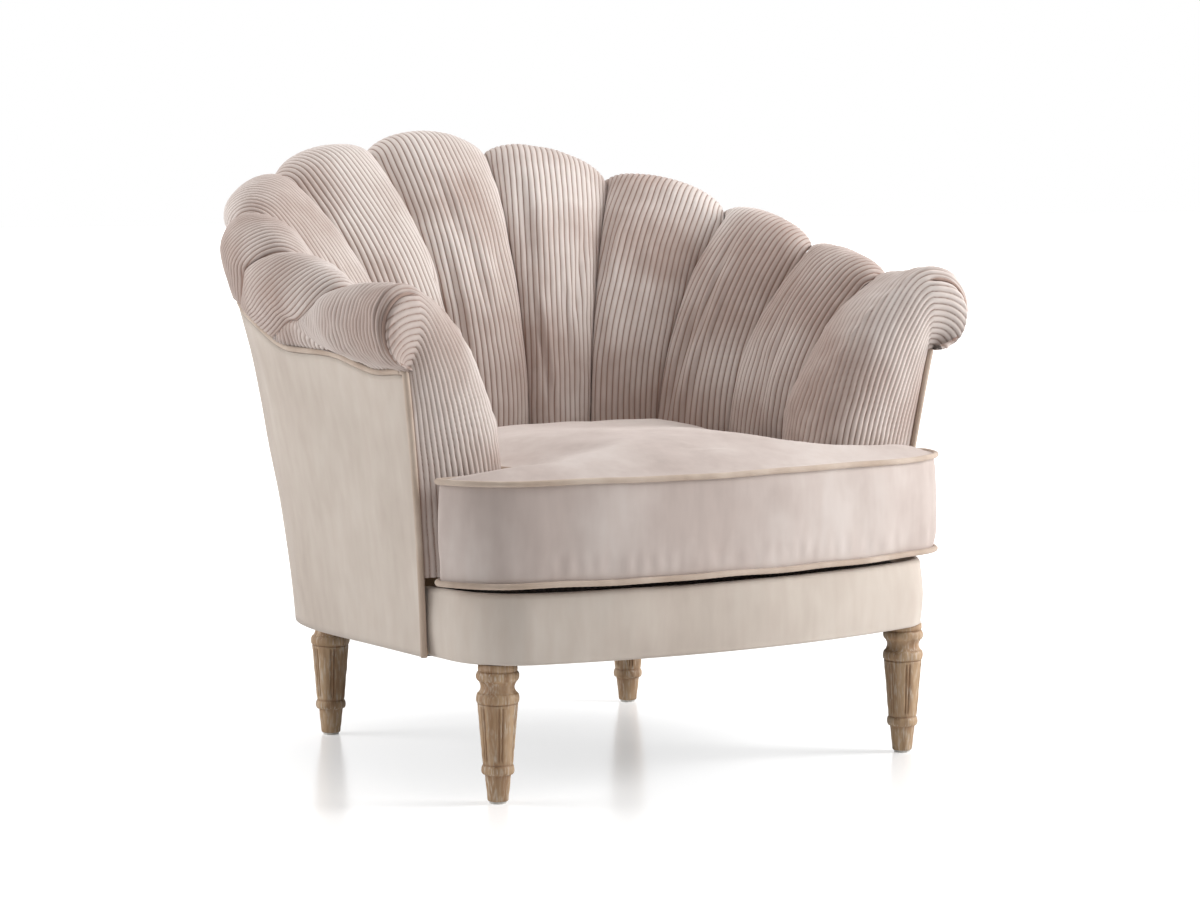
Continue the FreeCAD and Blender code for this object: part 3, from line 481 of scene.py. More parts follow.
def woven(name, pale, deep, scale):
    """Plain cloth or tape with a fine weave"""
    material, tree, shader = new_material(name)
    check = add_node(tree, "TexChecker", {"Vector": object_place(tree), "Scale": scale,
                                          "Color1": (*pale, 1), "Color2": (*deep, 1)})
    fuzz = ramp(tree, noise(tree, 220.0), [(0.3, grey(0.4)), (0.7, grey(0.6))])
    fill_in(tree, shader, {"Base Color": mix(tree, "OVERLAY", 0.5, check["Color"], fuzz), "Roughness": 0.9,
                           "Normal": bump(tree, check["Fac"], 0.3, 0.0005)})
    return material


def plain(name, colour, roughness, metal=0.0, scale=140.0):
    """Moulded or plated surface with a slight mottle, also laid on as a fine bump"""
    material, tree, shader = new_material(name)
    mottle = noise(tree, scale)
    deep = tuple(0.85 * part for part in colour)
    fill_in(tree, shader, {"Base Color": ramp(tree, mottle, [(0.3, deep), (0.7, colour)]),
                           "Roughness": roughness, "Metallic": metal,
                           "Normal": bump(tree, mottle, 0.15, 0.0003)})
    return material


# the ribbed velvet's groove colour is painted shade for the rib grooves, the channel seams and the scroll
# seam
RIBBED = velvet("ribbed_velvet", (0.730, 0.655, 0.615), (0.480, 0.380, 0.340), groove=(0.250, 0.150, 0.112),
                sheen=0.45, nap=5.0)
VELVET = velvet("plain_velvet", (0.620, 0.545, 0.480), (0.530, 0.455, 0.395), nap=4.0)
SEAT_VELVET = velvet("cushion_velvet", (0.630, 0.552, 0.512), (0.515, 0.432, 0.395), sheen=0.5, nap=6.0)
PIPING = velvet("piping_velvet", (0.590, 0.485, 0.405), (0.480, 0.375, 0.300), sheen=0.3, nap=14.0)
# painted shade: the scroll seam's cord is a darker copy of the piping velvet, standing in for the shade of
# the seam's groove
SHADED_SEAM_PIPING = velvet("seam_piping_painted_shade", (0.420, 0.305, 0.260), (0.340, 0.235, 0.195), sheen=0.3, nap=14.0)
# the oak's groove colour is painted shade for the coves and flutes of the legs
LIMED_OAK = wood("limed_oak", (0.470, 0.315, 0.185), (0.300, 0.175, 0.090), lime=(0.640, 0.560, 0.460),
                 groove=(0.235, 0.120, 0.055))
# painted shade: the deck felt is near black so that the gap between apron and cushion reads as shadow
FELT_PAINTED_SHADE = woven("deck_felt", (0.075, 0.062, 0.055), (0.050, 0.042, 0.038), 260.0)
LINING = woven("lining_cloth", (0.50, 0.43, 0.39), (0.40, 0.34, 0.31), 700.0)
SLOT_MATERIALS = {
    "ribbed_velvet": RIBBED, "plain_velvet": VELVET, "piping": PIPING, "limed_wood": LIMED_OAK,
    "deck_felt": FELT_PAINTED_SHADE, "deck_cloth": LINING,
    "frame_wood": wood("sawn_beech", (0.60, 0.44, 0.28), (0.48, 0.33, 0.20)),
    "nylon": plain("nylon", (0.72, 0.71, 0.67), 0.5),
    "zinc_steel": plain("zinc_plate", (0.60, 0.60, 0.58), 0.35, metal=0.9),
    "zip_plastic": plain("zip_plastic", (0.55, 0.47, 0.43), 0.45),
    "foam": plain("cut_foam", (0.78, 0.72, 0.55), 0.95, scale=500.0),
    "webbing": woven("elastic_webbing", (0.075, 0.075, 0.085), (0.035, 0.035, 0.04), 420.0),
    "dust_cloth": woven("dust_cloth", grey(0.035), grey(0.018), 600.0),
    "zip_tape": woven("zip_tape_weave", (0.58, 0.50, 0.46), (0.48, 0.41, 0.37), 900.0)}
for row in frame["record"]["subparts"]:
    holder = frame["nodes"][row["node"]]
    for index in range(max(1, len(holder.material_slots))):
        if not holder.material_slots:
            holder.data.materials.append(None)
        holder.material_slots[index].material = SLOT_MATERIALS[row["material_slot"]]

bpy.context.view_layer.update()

# Stuffed channels

CHANNEL_ROWS, COLUMNS_PER_RIB = 96, 7
CHANNEL_SQUARE, CHANNEL_ROUND, ROUND_LOSS = 2.15, 1.8, 0.7
SEAM_MARGIN = 0.010  # ribs, folds and swells fade out this near to a seam
FOLD_COUNT = 5
FOLD_RANGES = (-0.055, 0.055), (0.22, 0.56), (0.04, 0.09), (-0.18, 0.18), (0.0020, 0.0055), (0.006, 0.012)


def spread(base, stations, margin):
    """Points at given distances from the middle of each row, held at its ends, and a fade near those"""
    steps = np.linalg.norm(np.diff(base, axis=1), axis=2)
    along = np.concatenate([np.zeros((len(steps), 1)), np.cumsum(steps, axis=1)], axis=1)
    along = along - along[:, along.shape[1] // 2][:, None]
    reached = np.clip(stations, along[:, :1], along[:, -1:])
    points = np.array([read_off(*row) for row in zip(reached, along, base)])
    near = unit(np.minimum(reached - along[:, :1], along[:, -1:] - reached) / margin)
    return points, reached, near, along[:, -1]


def even_stops(section, samples, count):
    """Stops up a section, even along its length"""
    sample = np.linspace(0, LINE_END, samples)
    along = lengths_along(section(sample))
    return np.interp(np.linspace(0, along[-1], count), along, sample)


def middle_crest(stops):
    return channel_surface(np.zeros(len(stops)), np.ones(len(stops)), stops)


def creased(points, normals, across, along, folds):
    """Soft folds: each is a place across, a share along, a length, a lean, a depth and a width"""
    push = np.zeros(points.shape[:2])
    for place, share, length, lean, depth, width in folds:
        run = along - share * along[-1, 0]
        off = across - place - lean * run
        fade = np.exp(-np.abs(run / length) ** 3)
        push -= depth * np.exp(-(off / width) ** 2) * fade
        push += depth * 0.55 * np.exp(-((off - 2.0 * width) / (1.3 * width)) ** 2) * fade
    return points + normals * push[..., None]


def stuffed_channel(place, number):
    """Ribbed channel between two valleys: ribs run along it and are cut off by its seams"""
    stops = even_stops(middle_crest, 400, CHANNEL_ROWS)
    offsets = np.sin(np.linspace(-1, 1, 401) * math.pi / 2)
    roundness = CHANNEL_ROUND - ROUND_LOSS * unit((stops - 9.0) / 4.0)[:, None]
    share = unit(1 - np.abs(offsets)[None] ** CHANNEL_SQUARE) ** (1 / roundness)
    left, right = leaned(place - 0.5, stops)[:, None], leaned(place + 0.5, stops)[:, None]
    places = left + (right - left) * (offsets[None] * 0.998 + 1) / 2
    base = channel_surface(places, share, stops[:, None] * np.ones_like(places))
    step = RIB_PITCH / COLUMNS_PER_RIB
    count = int(np.linalg.norm(np.diff(base, axis=1), axis=2).sum(axis=1).max() / 2 / step) + 2
    points, reached, near, _ = spread(base, np.arange(-count, count + 1) * step, SEAM_MARGIN)
    normals = outer_normals(points, (base[:, 0] + base[:, -1]) / 2)
    along = lengths_along(base[:, 200])[:, None] * np.ones_like(reached)
    seed = 40 + number
    state = np.random.RandomState(seed)
    folds = [[state.uniform(low, high) for low, high in FOLD_RANGES] for _ in range(FOLD_COUNT)]
    points = creased(points, normals * near[..., None], reached, along, folds)
    drift = swells(points, seed, (0.0009, 0.17), (0.0002, 0.04))
    swell = swells(points, seed + 2, (0.0015, 0.17), (0.0004, 0.045))
    along_u = np.gradient(points, axis=1)
    along_u /= np.maximum(np.linalg.norm(along_u, axis=2, keepdims=True), 1e-9)
    rib = ridge(reached / RIB_PITCH)
    height = (swell + RIB_HEIGHT * (rib - RIB_MEAN)) * near
    points = points + along_u * (drift * near)[..., None] + normals * height[..., None]
    # painted shade: this value is low in the grooves between ribs and near the channel's seams, and the
    # material paints those places darker
    shade = unit(rib * (0.25 + 0.75 * near))
    piece = grid_piece("petal_%02d" % number, points, RIBBED, caps=True, rib=shade, weld=2e-5)
    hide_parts("channel_%02d" % number)
    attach(piece, "chair")


# Arm channels with their scrolled fronts

CORNER_PLACES = 0.67
ARM_ROWS, ARM_COLUMN = 230, 0.0013
ARM_RIB_HEIGHT = RIB_HEIGHT * 1.15
ARM_SEAM_MARGIN = 0.008
FULLNESS_STOPS, FULLNESS = [5.5, 8.0, 10.0, 13.0], [1.5, 3.2, 3.0, 2.2]
SEAM_INSET, SEAM_START_X = 0.019, 0.418
SEAM_HALF, SEAM_DEPTH, PUFF_REACH, PUFF_HALF, PUFF_HEIGHT = 0.0042, 0.0045, 0.011, 0.0055, 0.0016
SEAM_RADIUS, SEAM_LIFT = 0.0025, 0.0022


def arm_face(valley, corner, edge, offsets):
    """Front of an arm channel, from the corner line at offset 0 to the edge beside the welt at 1"""
    ahead = unit(offsets)
    across = edge - valley
    lift = corner - (valley + across * CORNER_SHARE)
    return (valley[:, None] + across[:, None] * (CORNER_SHARE + (1 - CORNER_SHARE) * ahead)[None, :, None]
            + lift[:, None] * unit(1 - ahead ** 2.6)[None, :, None] ** (1 / 2.2))


def arm_side(stops, edge_foot, offsets):
    """Side of an arm channel, from the last valley at offset -1 to the corner line at 0"""
    behind = unit(1 + offsets)[None] * np.ones((len(stops), 1))
    fullness = np.interp(stops, FULLNESS_STOPS, FULLNESS)[:, None]
    swelled = unit(1 - unit(-offsets) ** 2.3)[None] ** (1 / fullness)
    end_place = leaned(np.full(len(stops), LAST_VALLEY), stops)[:, None]
    spot = end_place + (LAST_VALLEY + CORNER_PLACES - end_place) * behind
    past = np.clip(spot - LAST_VALLEY, 0, CORNER_PLACES) / CORNER_PLACES
    kept = np.minimum(spot, LAST_VALLEY)
    seats, centres = plan_stations(kept)
    valley_seat, valley_centre = plan_stations(np.array(LAST_VALLEY))
    foot_run = (edge_foot - valley_seat) * CORNER_SHARE
    outward = direction(seats, centres)[0]
    seats = (seats + foot_run * past[..., None] - outward * (BULGE * VALLEY_PAD * (1 - swelled))[..., None]
             + (CORNER_START - valley_seat - foot_run) * swelled[..., None])
    centres = centres + (np.array(CORNER_CENTRE) - valley_centre) * past[..., None]
    tight = valley_radius(end_place[:, 0], stops)[:, None]
    tight = tight + (CREST_RADIUS - tight) * VALLEY_PAD
    end_reach = (welt_offset(kept) * (1 - past) + CORNER_END_REACH * past
                 + END_SWELL * VALLEY_PAD * (1 - swelled))
    end_height = ((channel_end(kept) - welt_dip(kept)) * (1 - past) + (CORNER_END - DIPS[-1]) * past
                  + welt_dip(kept + past * (DIP_PLACES[-1] - LAST_VALLEY)))
    return roll_section(seats, centres, tight + (CORNER_RADIUS - tight) * swelled,
                        roll_height(np.minimum(spot, 5.0)), end_reach, end_height,
                        stops[:, None] * np.ones_like(behind))


def smoothed(values, count):
    kernel = np.hanning(count) / np.hanning(count).sum()
    return np.convolve(np.pad(values, count // 2, mode="edge"), kernel, mode="valid")


def arm_piece(side):
    """Arm channel: its ribs keep beside the front welt and bend over its top to a C-shaped seam;
    behind that seam they run round the roll beside it"""
    number = 11 if side > 0 else 1
    stops = even_stops(corner_line, 500, ARM_ROWS)
    corner, edge = corner_line(stops), front_line(stops)
    valley = channel_surface(np.full(len(stops), LAST_VALLEY), np.zeros(len(stops)), stops)
    offsets = np.sin(np.linspace(-1, 1, 801) * math.pi / 2)
    base = np.where((offsets < 0)[None, :, None], arm_side(stops, edge[0, :2], offsets),
                    arm_face(valley, corner, edge, offsets))
    steps = np.linalg.norm(np.diff(base, axis=1), axis=2)
    back, face = steps[:, :400].sum(axis=1).max(), steps[:, 400:].sum(axis=1).max()
    stations = np.concatenate([np.linspace(-back, 0, int(back / ARM_COLUMN)),
                               np.linspace(0, face, int(face / ARM_COLUMN))[1:]])
    points, reached, near, last = spread(base, stations, ARM_SEAM_MARGIN)
    normals = outer_normals(points, valley * 0.5 + edge * 0.5)
    seam_row = int(np.argmax((corner[:, 0] > SEAM_START_X) & (stops > FLARE_END)))
    seam_place = np.minimum(SEAM_INSET, 0.45 * last)
    row_number = np.arange(len(stops))
    width = smoothed(np.where(row_number < seam_row, last, last[seam_row]), 23)
    on_face = (row_number >= seam_row)[:, None] & (reached > seam_place[:, None])
    value = np.where(on_face, last[:, None], width[:, None]) - reached
    rib = ridge(value / RIB_PITCH + 0.06 * waves(points, 0.08, 70 + number))
    begun = unit((row_number - seam_row + 2) / 5)[:, None]
    gap = np.abs(reached - seam_place[:, None])
    groove = np.exp(-(gap / SEAM_HALF) ** 2) * begun
    puff = np.exp(-((gap - PUFF_REACH) / PUFF_HALF) ** 2) * begun
    swell = swells(points, 80 + number, (0.0020, 0.12), (0.0008, 0.03))
    swell = np.where(reached > 0, 0.4 * swell - 0.0006, swell)
    height = swell + ARM_RIB_HEIGHT * (rib - RIB_MEAN) * (1 - groove) + PUFF_HEIGHT * puff
    points = points + normals * (height * near - SEAM_DEPTH * groove)[..., None]
    # painted shade: this value is low in the grooves between ribs, near the seams and in the scroll seam's
    # groove, and the material paints those places darker
    shade = unit(rib * (0.25 + 0.75 * near) * (1 - 0.6 * groove))
    mirror = np.array([side, 1, 1])
    points, normals = points * mirror, normals * mirror
    piece = grid_piece("petal_%02d" % number, points, RIBBED, caps=True, rib=shade, weld=2e-5)
    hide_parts("channel_%02d" % number)
    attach(piece, "chair")
    path = [read_off(seam_place[row:row + 1], stations, (points + SEAM_LIFT * normals)[row])[0]
            for row in range(seam_row, len(stops) - 3, 4)]
    taper = np.clip(np.minimum(np.arange(60), 59 - np.arange(60)) / 5, 0.15, 1)
    # the seam cord takes the darker piping velvet, painted shade of its groove
    welt = tube("scroll_seam_" + ("left" if side > 0 else "right"), densify(path, 60), SEAM_RADIUS * taper,
                SHADED_SEAM_PIPING, sides=10, flat=np.array([0.0, 1.0, 0.0]))
    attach(welt, "chair")


for number in range(2, 11):
    stuffed_channel(number - 6, number)
for side in (-1, 1):
    arm_piece(side)

# Outside covers and their welts

COVER_HOLLOW = 0.02  # share of the cover's height by which it is drawn in
COVER_COLUMNS = 90
WELT_TOUCH = 0.0003
BESIDE_EDGE = np.array([-0.002, -0.0048, 0])
FRONT_HOOK = (0.0006, 0.0008, 0.0018), (0.0014, 0.0030, 0.0032), (0.0024, 0.0060, 0.0038)


def foot_reach(place):
    """How far out from the seat point the cover meets the outline of the seat frame"""
    seat, crest = plan_stations(place)
    outward = direction(seat, crest)[0]
    low, high = 0.0, CREST_DEPTH
    while high - low > 1e-6:
        reach = (low + high) / 2
        point = seat + outward * reach
        fill = (abs(point[0]) / FOOT_HALF_WIDTH) ** FOOT_SQUARE
        if point[1] > 0:
            fill += (point[1] / FOOT_DEPTH) ** FOOT_SQUARE
        low, high = (reach, high) if fill < 1 else (low, reach)
    return low


def cover_column(place, shares, inset=0.0):
    """Upright line of the outside cover at a place, as points at shares of its height"""
    size = min(abs(place), LAST_VALLEY)
    seat, crest = plan_stations(size)
    outward = direction(seat, crest)[0]
    foot = foot_reach(size)
    welt = welt_height(size)
    top = np.linalg.norm(crest - seat) + welt_offset(size)
    past = max(0.0, abs(place) - LAST_VALLEY)
    height_top = welt * (1 - past) + ARM_WELT * past + welt_dip(place)
    height = SKIRT_Z + (height_top - SKIRT_Z) * np.asarray(shares)
    part = (height - SKIRT_Z) / (welt - SKIRT_Z)
    reach = foot + (top - foot) * part - 4 * COVER_HOLLOW * (welt - SKIRT_Z) * part * (1 - part) - inset
    flat = seat + outward * reach[:, None]
    edge = arm_edge(height)[:2].T - np.array([inset, 0])
    return np.column_stack([flat + (edge - flat) * past, height])


def outside_cover(name, first, last, seed):
    """Plain velvet stretched over the frame, slack by a hair between its edges"""
    shares = np.linspace(0, 1, 40)
    places = np.linspace(first, last, COVER_COLUMNS)
    outer = np.stack([cover_column(place, shares) for place in places], axis=1)
    inner = np.stack([cover_column(place, shares, COVER_THICKNESS) for place in places], axis=1)
    mirror = np.where(places < 0, -1.0, 1.0)
    outer[..., 0] *= mirror
    inner[..., 0] *= mirror
    out = outer - inner
    out[..., 2] = 0
    out = unit_vectors(out)
    number = np.arange(COVER_COLUMNS)[None]
    still = (unit(np.minimum(shares, 1 - shares)[:, None] / 0.08)
             * unit(np.minimum(number, COVER_COLUMNS - 1 - number) / 5))
    slack = 0.0011 * waves(outer, 0.22, seed) + 0.0006 * waves(outer * np.array([1, 1, 0.35]), 0.05, seed + 1)
    outer = outer + out * (slack * still)[..., None]
    ring = np.concatenate([outer, inner[::-1]], axis=0)
    piece = grid_piece(name + "_velvet", ring.transpose(1, 0, 2), VELVET)
    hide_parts(name)
    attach(piece, "chair")


outside_cover("outside_back", -2.0, 2.0, 11)
outside_cover("outside_arm_left", 2.0, 5.5, 12)
outside_cover("outside_arm_right", -5.5, -2.0, 13)

places = np.linspace(-DIP_PLACES[-1], DIP_PLACES[-1], 300)
path = np.array([cover_column(place, [1.0], COVER_THICKNESS / 2)[0] for place in places])
path[:, 0] *= np.where(places < 0, -1, 1)
path[:, 2] += WELT_RADIUS + WELT_TOUCH
welt = tube("welt_crest_cord", path, WELT_RADIUS, PIPING, sides=16)
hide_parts("welt_crest")
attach(welt, "chair")
for side, label in ((1, "left"), (-1, "right")):
    heights = np.linspace(SKIRT_Z, ARM_WELT + 0.002 + DIPS[-1], 60)
    path = [arm_edge(height) + BESIDE_EDGE for height in heights]
    path += [path[-1] + np.array(turn) for turn in FRONT_HOOK]
    path = np.array(path) * np.array([side, 1, 1])
    welt = tube("welt_front_%s_cord" % label, path, WELT_RADIUS, PIPING, sides=16,
                flat=np.array([0.0, 1.0, 0.0]))
    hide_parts("welt_front_" + label)
    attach(welt, "chair")

# Apron and cushion


def bowed_path(half_width, corner, bow, back, inset, corner_steps=20, bow_steps=60):
    """Bowed front outline from the left side to the right: bow and corners are true arcs"""
    sagitta = corner[1] - bow
    bow_radius = (corner[0] ** 2 + sagitta ** 2) / (2 * sagitta)
    lean = math.asin(corner[0] / bow_radius)
    radius = (half_width - corner[0]) / (1 - math.sin(lean))
    centre = np.array([corner[0] - radius * math.sin(lean), corner[1] + radius * math.cos(lean)])
    points = []
    if back is not None:
        for share in np.linspace(0, 1, 16, endpoint=False):
            points.append((half_width - inset, back + (centre[1] - back) * share))
    for step in range(corner_steps + 1):
        turn = -(math.pi / 2 - lean) * step / corner_steps
        points.append((centre[0] + math.cos(turn) * (radius - inset),
                       centre[1] + math.sin(turn) * (radius - inset)))
    reach = bow_radius - inset
    for step in range(1, bow_steps + 1):
        turn = lean * (1 - step / bow_steps)
        points.append((reach * math.sin(turn), bow + bow_radius - reach * math.cos(turn)))
    points = np.array(points)
    mirrored = points[-2::-1] * np.array([-1, 1])
    return np.vstack([points, mirrored])


APRON_HALF_WIDTH, APRON_BOW, APRON_TOP, APRON_BACK = 0.374, -0.388, 0.2715, -0.1965
APRON_CORNER = (0.300, -0.349)
APRON_GAP = 0.0098  # between the apron's ends and the arm's edge
APRON_SECTION = [(0.0135, 0.1805), (0.004, 0.1805), (0.0012, 0.182)]
APRON_SECTION += [(0.0022 - 0.0030 * math.sin(math.pi * t), 0.184 + 0.077 * t) for t in np.linspace(0, 1, 14)]
APRON_SECTION += [(0.0022 + 0.0058 * (1 - math.cos(t)), APRON_TOP - 0.0095 * (1 - math.sin(t)))
                  for t in np.linspace(0.2, math.pi / 2, 8)]
APRON_SECTION += [(0.0135, APRON_TOP)]
rows = []
for inset, height in APRON_SECTION:
    flat = bowed_path(APRON_HALF_WIDTH, APRON_CORNER, APRON_BOW, APRON_BACK, inset)
    follow = unit((flat[:, 1] + 0.290) / 0.070) ** 2
    flat[:, 0] += np.sign(flat[:, 0]) * follow * (arm_edge(height)[0] - APRON_GAP - APRON_HALF_WIDTH)
    rows.append(np.column_stack([flat, np.full(len(flat), height)]))
band = np.array(rows).transpose(1, 0, 2)
out = grid_normals(band)
out *= np.sign(np.sum(out[:, 8:12] * (band[:, 8:12] - np.array([0, 0.2, 0.22]))))
ends = np.minimum(np.arange(len(band)), len(band) - 1 - np.arange(len(band)))[:, None]
still = unit(ends / 12) * np.array([0, 0, 0.2] + [1] * 14 + [0.7] * 8 + [0])[None]
pucker = 0.0010 * waves(band, 0.16, 21) + 0.0005 * waves(band * np.array([1, 1, 0.3]), 0.045, 22)
band = band + out * (pucker * still)[..., None]
apron = grid_piece("apron_velvet", band, VELVET, caps=True, weld=1e-6)
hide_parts("apron")
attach(apron, "chair")


def smooth_loop(points, count):
    """Smooth closed line through points, evenly resampled"""
    points = np.asarray(points, dtype=float)
    total = len(points)
    line = []
    for number in range(total):
        before, start, end, after = (points[(number + shift) % total] for shift in (-1, 0, 1, 2))
        chord = np.linalg.norm(end - start)
        tangent_in = (end - before) / max(1e-9, np.linalg.norm(end - before)) * chord
        tangent_out = (after - start) / max(1e-9, np.linalg.norm(after - start)) * chord
        for t in np.linspace(0, 1, 16, endpoint=False):
            line.append(start * (1 + 2 * t) * (1 - t) ** 2 + end * t ** 2 * (3 - 2 * t)
                        + tangent_in * t * (1 - t) ** 2 - tangent_out * t ** 2 * (1 - t))
    line = np.array(line + line[:1])
    along = lengths_along(line)
    return read_off(np.linspace(0, along[-1], count, endpoint=False), along, line)


CUSHION_BOW, CUSHION_EAR, CUSHION_CORNER = -0.395, 0.403, (0.322, -0.354)


def cushion_side():
    """Plan of the cushion's left side: along the channels, round the arm and out to the ear"""
    points = drawn_in(np.arange(1.0, 4.01, 0.5), BULGE + 0.009)
    arm_x, ear_x = CORNER_X - 0.013, CUSHION_EAR
    points += [(arm_x + 0.009, ARM_FRONT_Y + 0.068), (arm_x, ARM_FRONT_Y + 0.034),
               (arm_x, ARM_FRONT_Y - 0.032), (ear_x - 0.051, ARM_FRONT_Y - 0.056),
               (ear_x, ARM_FRONT_Y - 0.064)]
    return [np.array(point, dtype=float) for point in points]


def cushion_outline():
    front = bowed_path(CUSHION_EAR, CUSHION_CORNER, CUSHION_BOW, None, 0.0, 6, 12)
    side = cushion_side()
    loop = [point * np.array([-1, 1]) for point in side] + list(front[::-1][1:-1]) + side[::-1]
    loop = smooth_loop(loop, 560)
    for _ in range(16):
        loop = (np.roll(loop, 1, axis=0) + np.roll(loop, -1, axis=0) + 2 * loop) / 4
    return loop


CUSHION_LOOP = cushion_outline()


def inset_loop(inset):
    """The cushion's outline drawn in along its own normals"""
    run = unit_vectors(np.roll(CUSHION_LOOP, -3, axis=0) - np.roll(CUSHION_LOOP, 3, axis=0))
    return CUSHION_LOOP + np.column_stack([-run[:, 1], run[:, 0]]) * inset


def edge_distance(flat, outline):
    """Distance of each point from the nearest point of an outline, 1 at most"""
    nearest = np.full(len(flat), 1.0)
    for spot in outline[::2]:
        nearest = np.minimum(nearest, np.linalg.norm(flat - spot, axis=1))
    return nearest


BOTTOM_SEAM, TOP_SEAM, CUSHION_CROWN = 0.288, 0.413, 0.038
SEAM_DRAW, PIPING_DRAW, PIPING_RADIUS = 0.0078, 0.004, 0.0039
MIDDLE = np.array([0.0, -0.300])
UNDER_RINGS, BOXING_RINGS = 14, 22


def droop(flat):
    """The front lip of the cushion sinks a little beyond the deck"""
    ahead = unit((-0.235 - flat[:, 1]) / 0.03)
    return 0.0050 * ahead * np.exp(-(edge_distance(flat, inset_loop(PIPING_DRAW)) / 0.022) ** 2)


def cushion_rings():
    """Rings of the cushion: the underside from its middle out, the boxing, and the top back in"""
    seam = inset_loop(SEAM_DRAW)
    ahead = unit((-0.17 - seam[:, 1]) / 0.06)[:, None]
    out = unit_vectors(inset_loop(0.0) - seam)
    sag = droop(seam)
    rings = []
    for share in np.append(np.linspace(1, 0.04, UNDER_RINGS - 2), [0.015, 0.0]):
        flat = MIDDLE + (seam - MIDDLE) * (1 - share)
        sink = 0.004 * np.sin(math.pi / 2 * np.minimum(1, edge_distance(flat, seam) / 0.04))
        rings.append(np.column_stack([flat, BOTTOM_SEAM - sink - droop(flat)]))
    for share in np.linspace(0.0, 1.0, BOXING_RINGS):
        lean = math.sin(math.pi * share)
        flat = seam + out * (0.0042 * lean ** 0.7 * ahead - 0.0022 * lean * (1 - ahead))
        height = BOTTOM_SEAM + (TOP_SEAM - BOTTOM_SEAM) * share - sag * (1 - share)
        rings.append(np.column_stack([flat, height]))
    for share in np.append([0.0, 0.012, 0.03, 0.055], np.linspace(0.09, 1, 24)):
        flat = MIDDLE + (seam - MIDDLE) * (1 - share)
        full = np.sin(math.pi / 2 * np.minimum(1, edge_distance(flat, seam) / 0.18))
        rings.append(np.column_stack([flat, TOP_SEAM + CUSHION_CROWN * full]))
    return np.array(rings)


cushion_points = cushion_rings()
normals = grid_normals(cushion_points, closed=True)
boxed = slice(UNDER_RINGS, UNDER_RINGS + BOXING_RINGS - 2)
normals *= np.sign(np.sum(normals[boxed] * (cushion_points[boxed] - np.array([0, -0.15, 0.35]))))
ring = np.arange(len(cushion_points))[:, None]
boxing_end = UNDER_RINGS + BOXING_RINGS
boxing = unit(np.minimum(ring - UNDER_RINGS + 1, boxing_end - ring) / 4)
crown = unit((ring - boxing_end - 2) / 5) * (ring < len(cushion_points) - 2)
ahead = unit((-0.15 - cushion_points[..., 1]) / 0.05)
low_tuck = np.exp(-((cushion_points[..., 2] - BOTTOM_SEAM - 0.014) / 0.016) ** 2)
stretch = cushion_points * np.array([1, 1, 0.25])
wrinkle = (0.0011 * waves(cushion_points, 0.17, 31) + 0.0009 * low_tuck * waves(stretch, 0.020, 32)
           + 0.0007 * waves(stretch, 0.06, 33)) * boxing * ahead
dent = swells(cushion_points, 34, (0.0022, 0.24), (0.0006, 0.06)) * crown
cushion_points = cushion_points + normals * (wrinkle + dent)[..., None]
cushion = grid_piece("cushion_velvet", cushion_points, SEAT_VELVET, weld=1e-6)
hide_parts("cushion_cover", "cushion_foam")
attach(cushion, "seat_cushion")
for name, height, seed in (("cushion_piping_bottom", BOTTOM_SEAM, 41), ("cushion_piping_top", TOP_SEAM, 42)):
    flat = inset_loop(PIPING_DRAW)
    path = np.column_stack([flat, height - droop(flat) * (height == BOTTOM_SEAM)])
    path[:, 2] += 0.0007 * waves(path, 0.16, seed) * unit((-0.20 - path[:, 1]) / 0.03)
    cord = tube(name + "_cord", path, PIPING_RADIUS, PIPING, closed=True)
    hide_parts(name)
    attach(cord, "seat_cushion")

# Seat deck under the cushion


DECK_CENTRE = np.array([0, -0.09])
DECK_EDGE = 0.004
DECK_FRONT = (1, 0.80), (0.80, 0.955), (0.4, 0.99), (0, 1), (-0.4, 0.99), (-0.80, 0.955), (-1, 0.80)


def deck_layer(name, node, bottom, top, material):
    """Layer of the deck, inside the outline of its own solid and of the channels' feet"""
    side = drawn_in(np.arange(0.0, 4.51, 0.25), 0.005)
    low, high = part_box(node)
    half, front_y = high[0], low[1] - PLAN_CENTRE[1]
    outline = (np.array(side) * np.array([-1, 1]))[::-1]
    front = [[half * across, front_y * ahead] for across, ahead in DECK_FRONT]
    loop = smooth_loop(np.vstack([outline[:-1], side, front]), 220)
    loop[:, 0] = np.clip(loop[:, 0], -half, half)

    def ring(size, height):
        return np.column_stack([DECK_CENTRE + (loop - DECK_CENTRE) * size, np.full(len(loop), height)])

    round_edge = min(DECK_EDGE, (top - bottom) / 2.2)
    rings = [ring(1 - share, bottom) for share in (1.0, 0.6, 0.3, 0.03)]
    for turn in np.linspace(-math.pi / 2, math.pi / 2, 7):
        rings.append(ring(1 - (round_edge * (1 - math.cos(turn))) / 0.3,
                          (bottom + top) / 2 + ((top - bottom) / 2) * math.sin(turn)))
    rings += [ring(1 - share, top) for share in (0.03, 0.3, 0.6, 1.0)]
    piece = grid_piece(name, np.array(rings), material, weld=1e-6)
    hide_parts(node)
    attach(piece, "chair")


# the pad's near-black felt is painted shade for the gap under the cushion
deck_layer("deck_felt_pad", "deck_pad", 0.260, 0.2816, FELT_PAINTED_SHADE)
deck_layer("deck_lining", "deck_cloth", 0.2818, 0.2836, LINING)

# Legs: a turned profile with pairs of flutes and a thin bead between the two of each pair


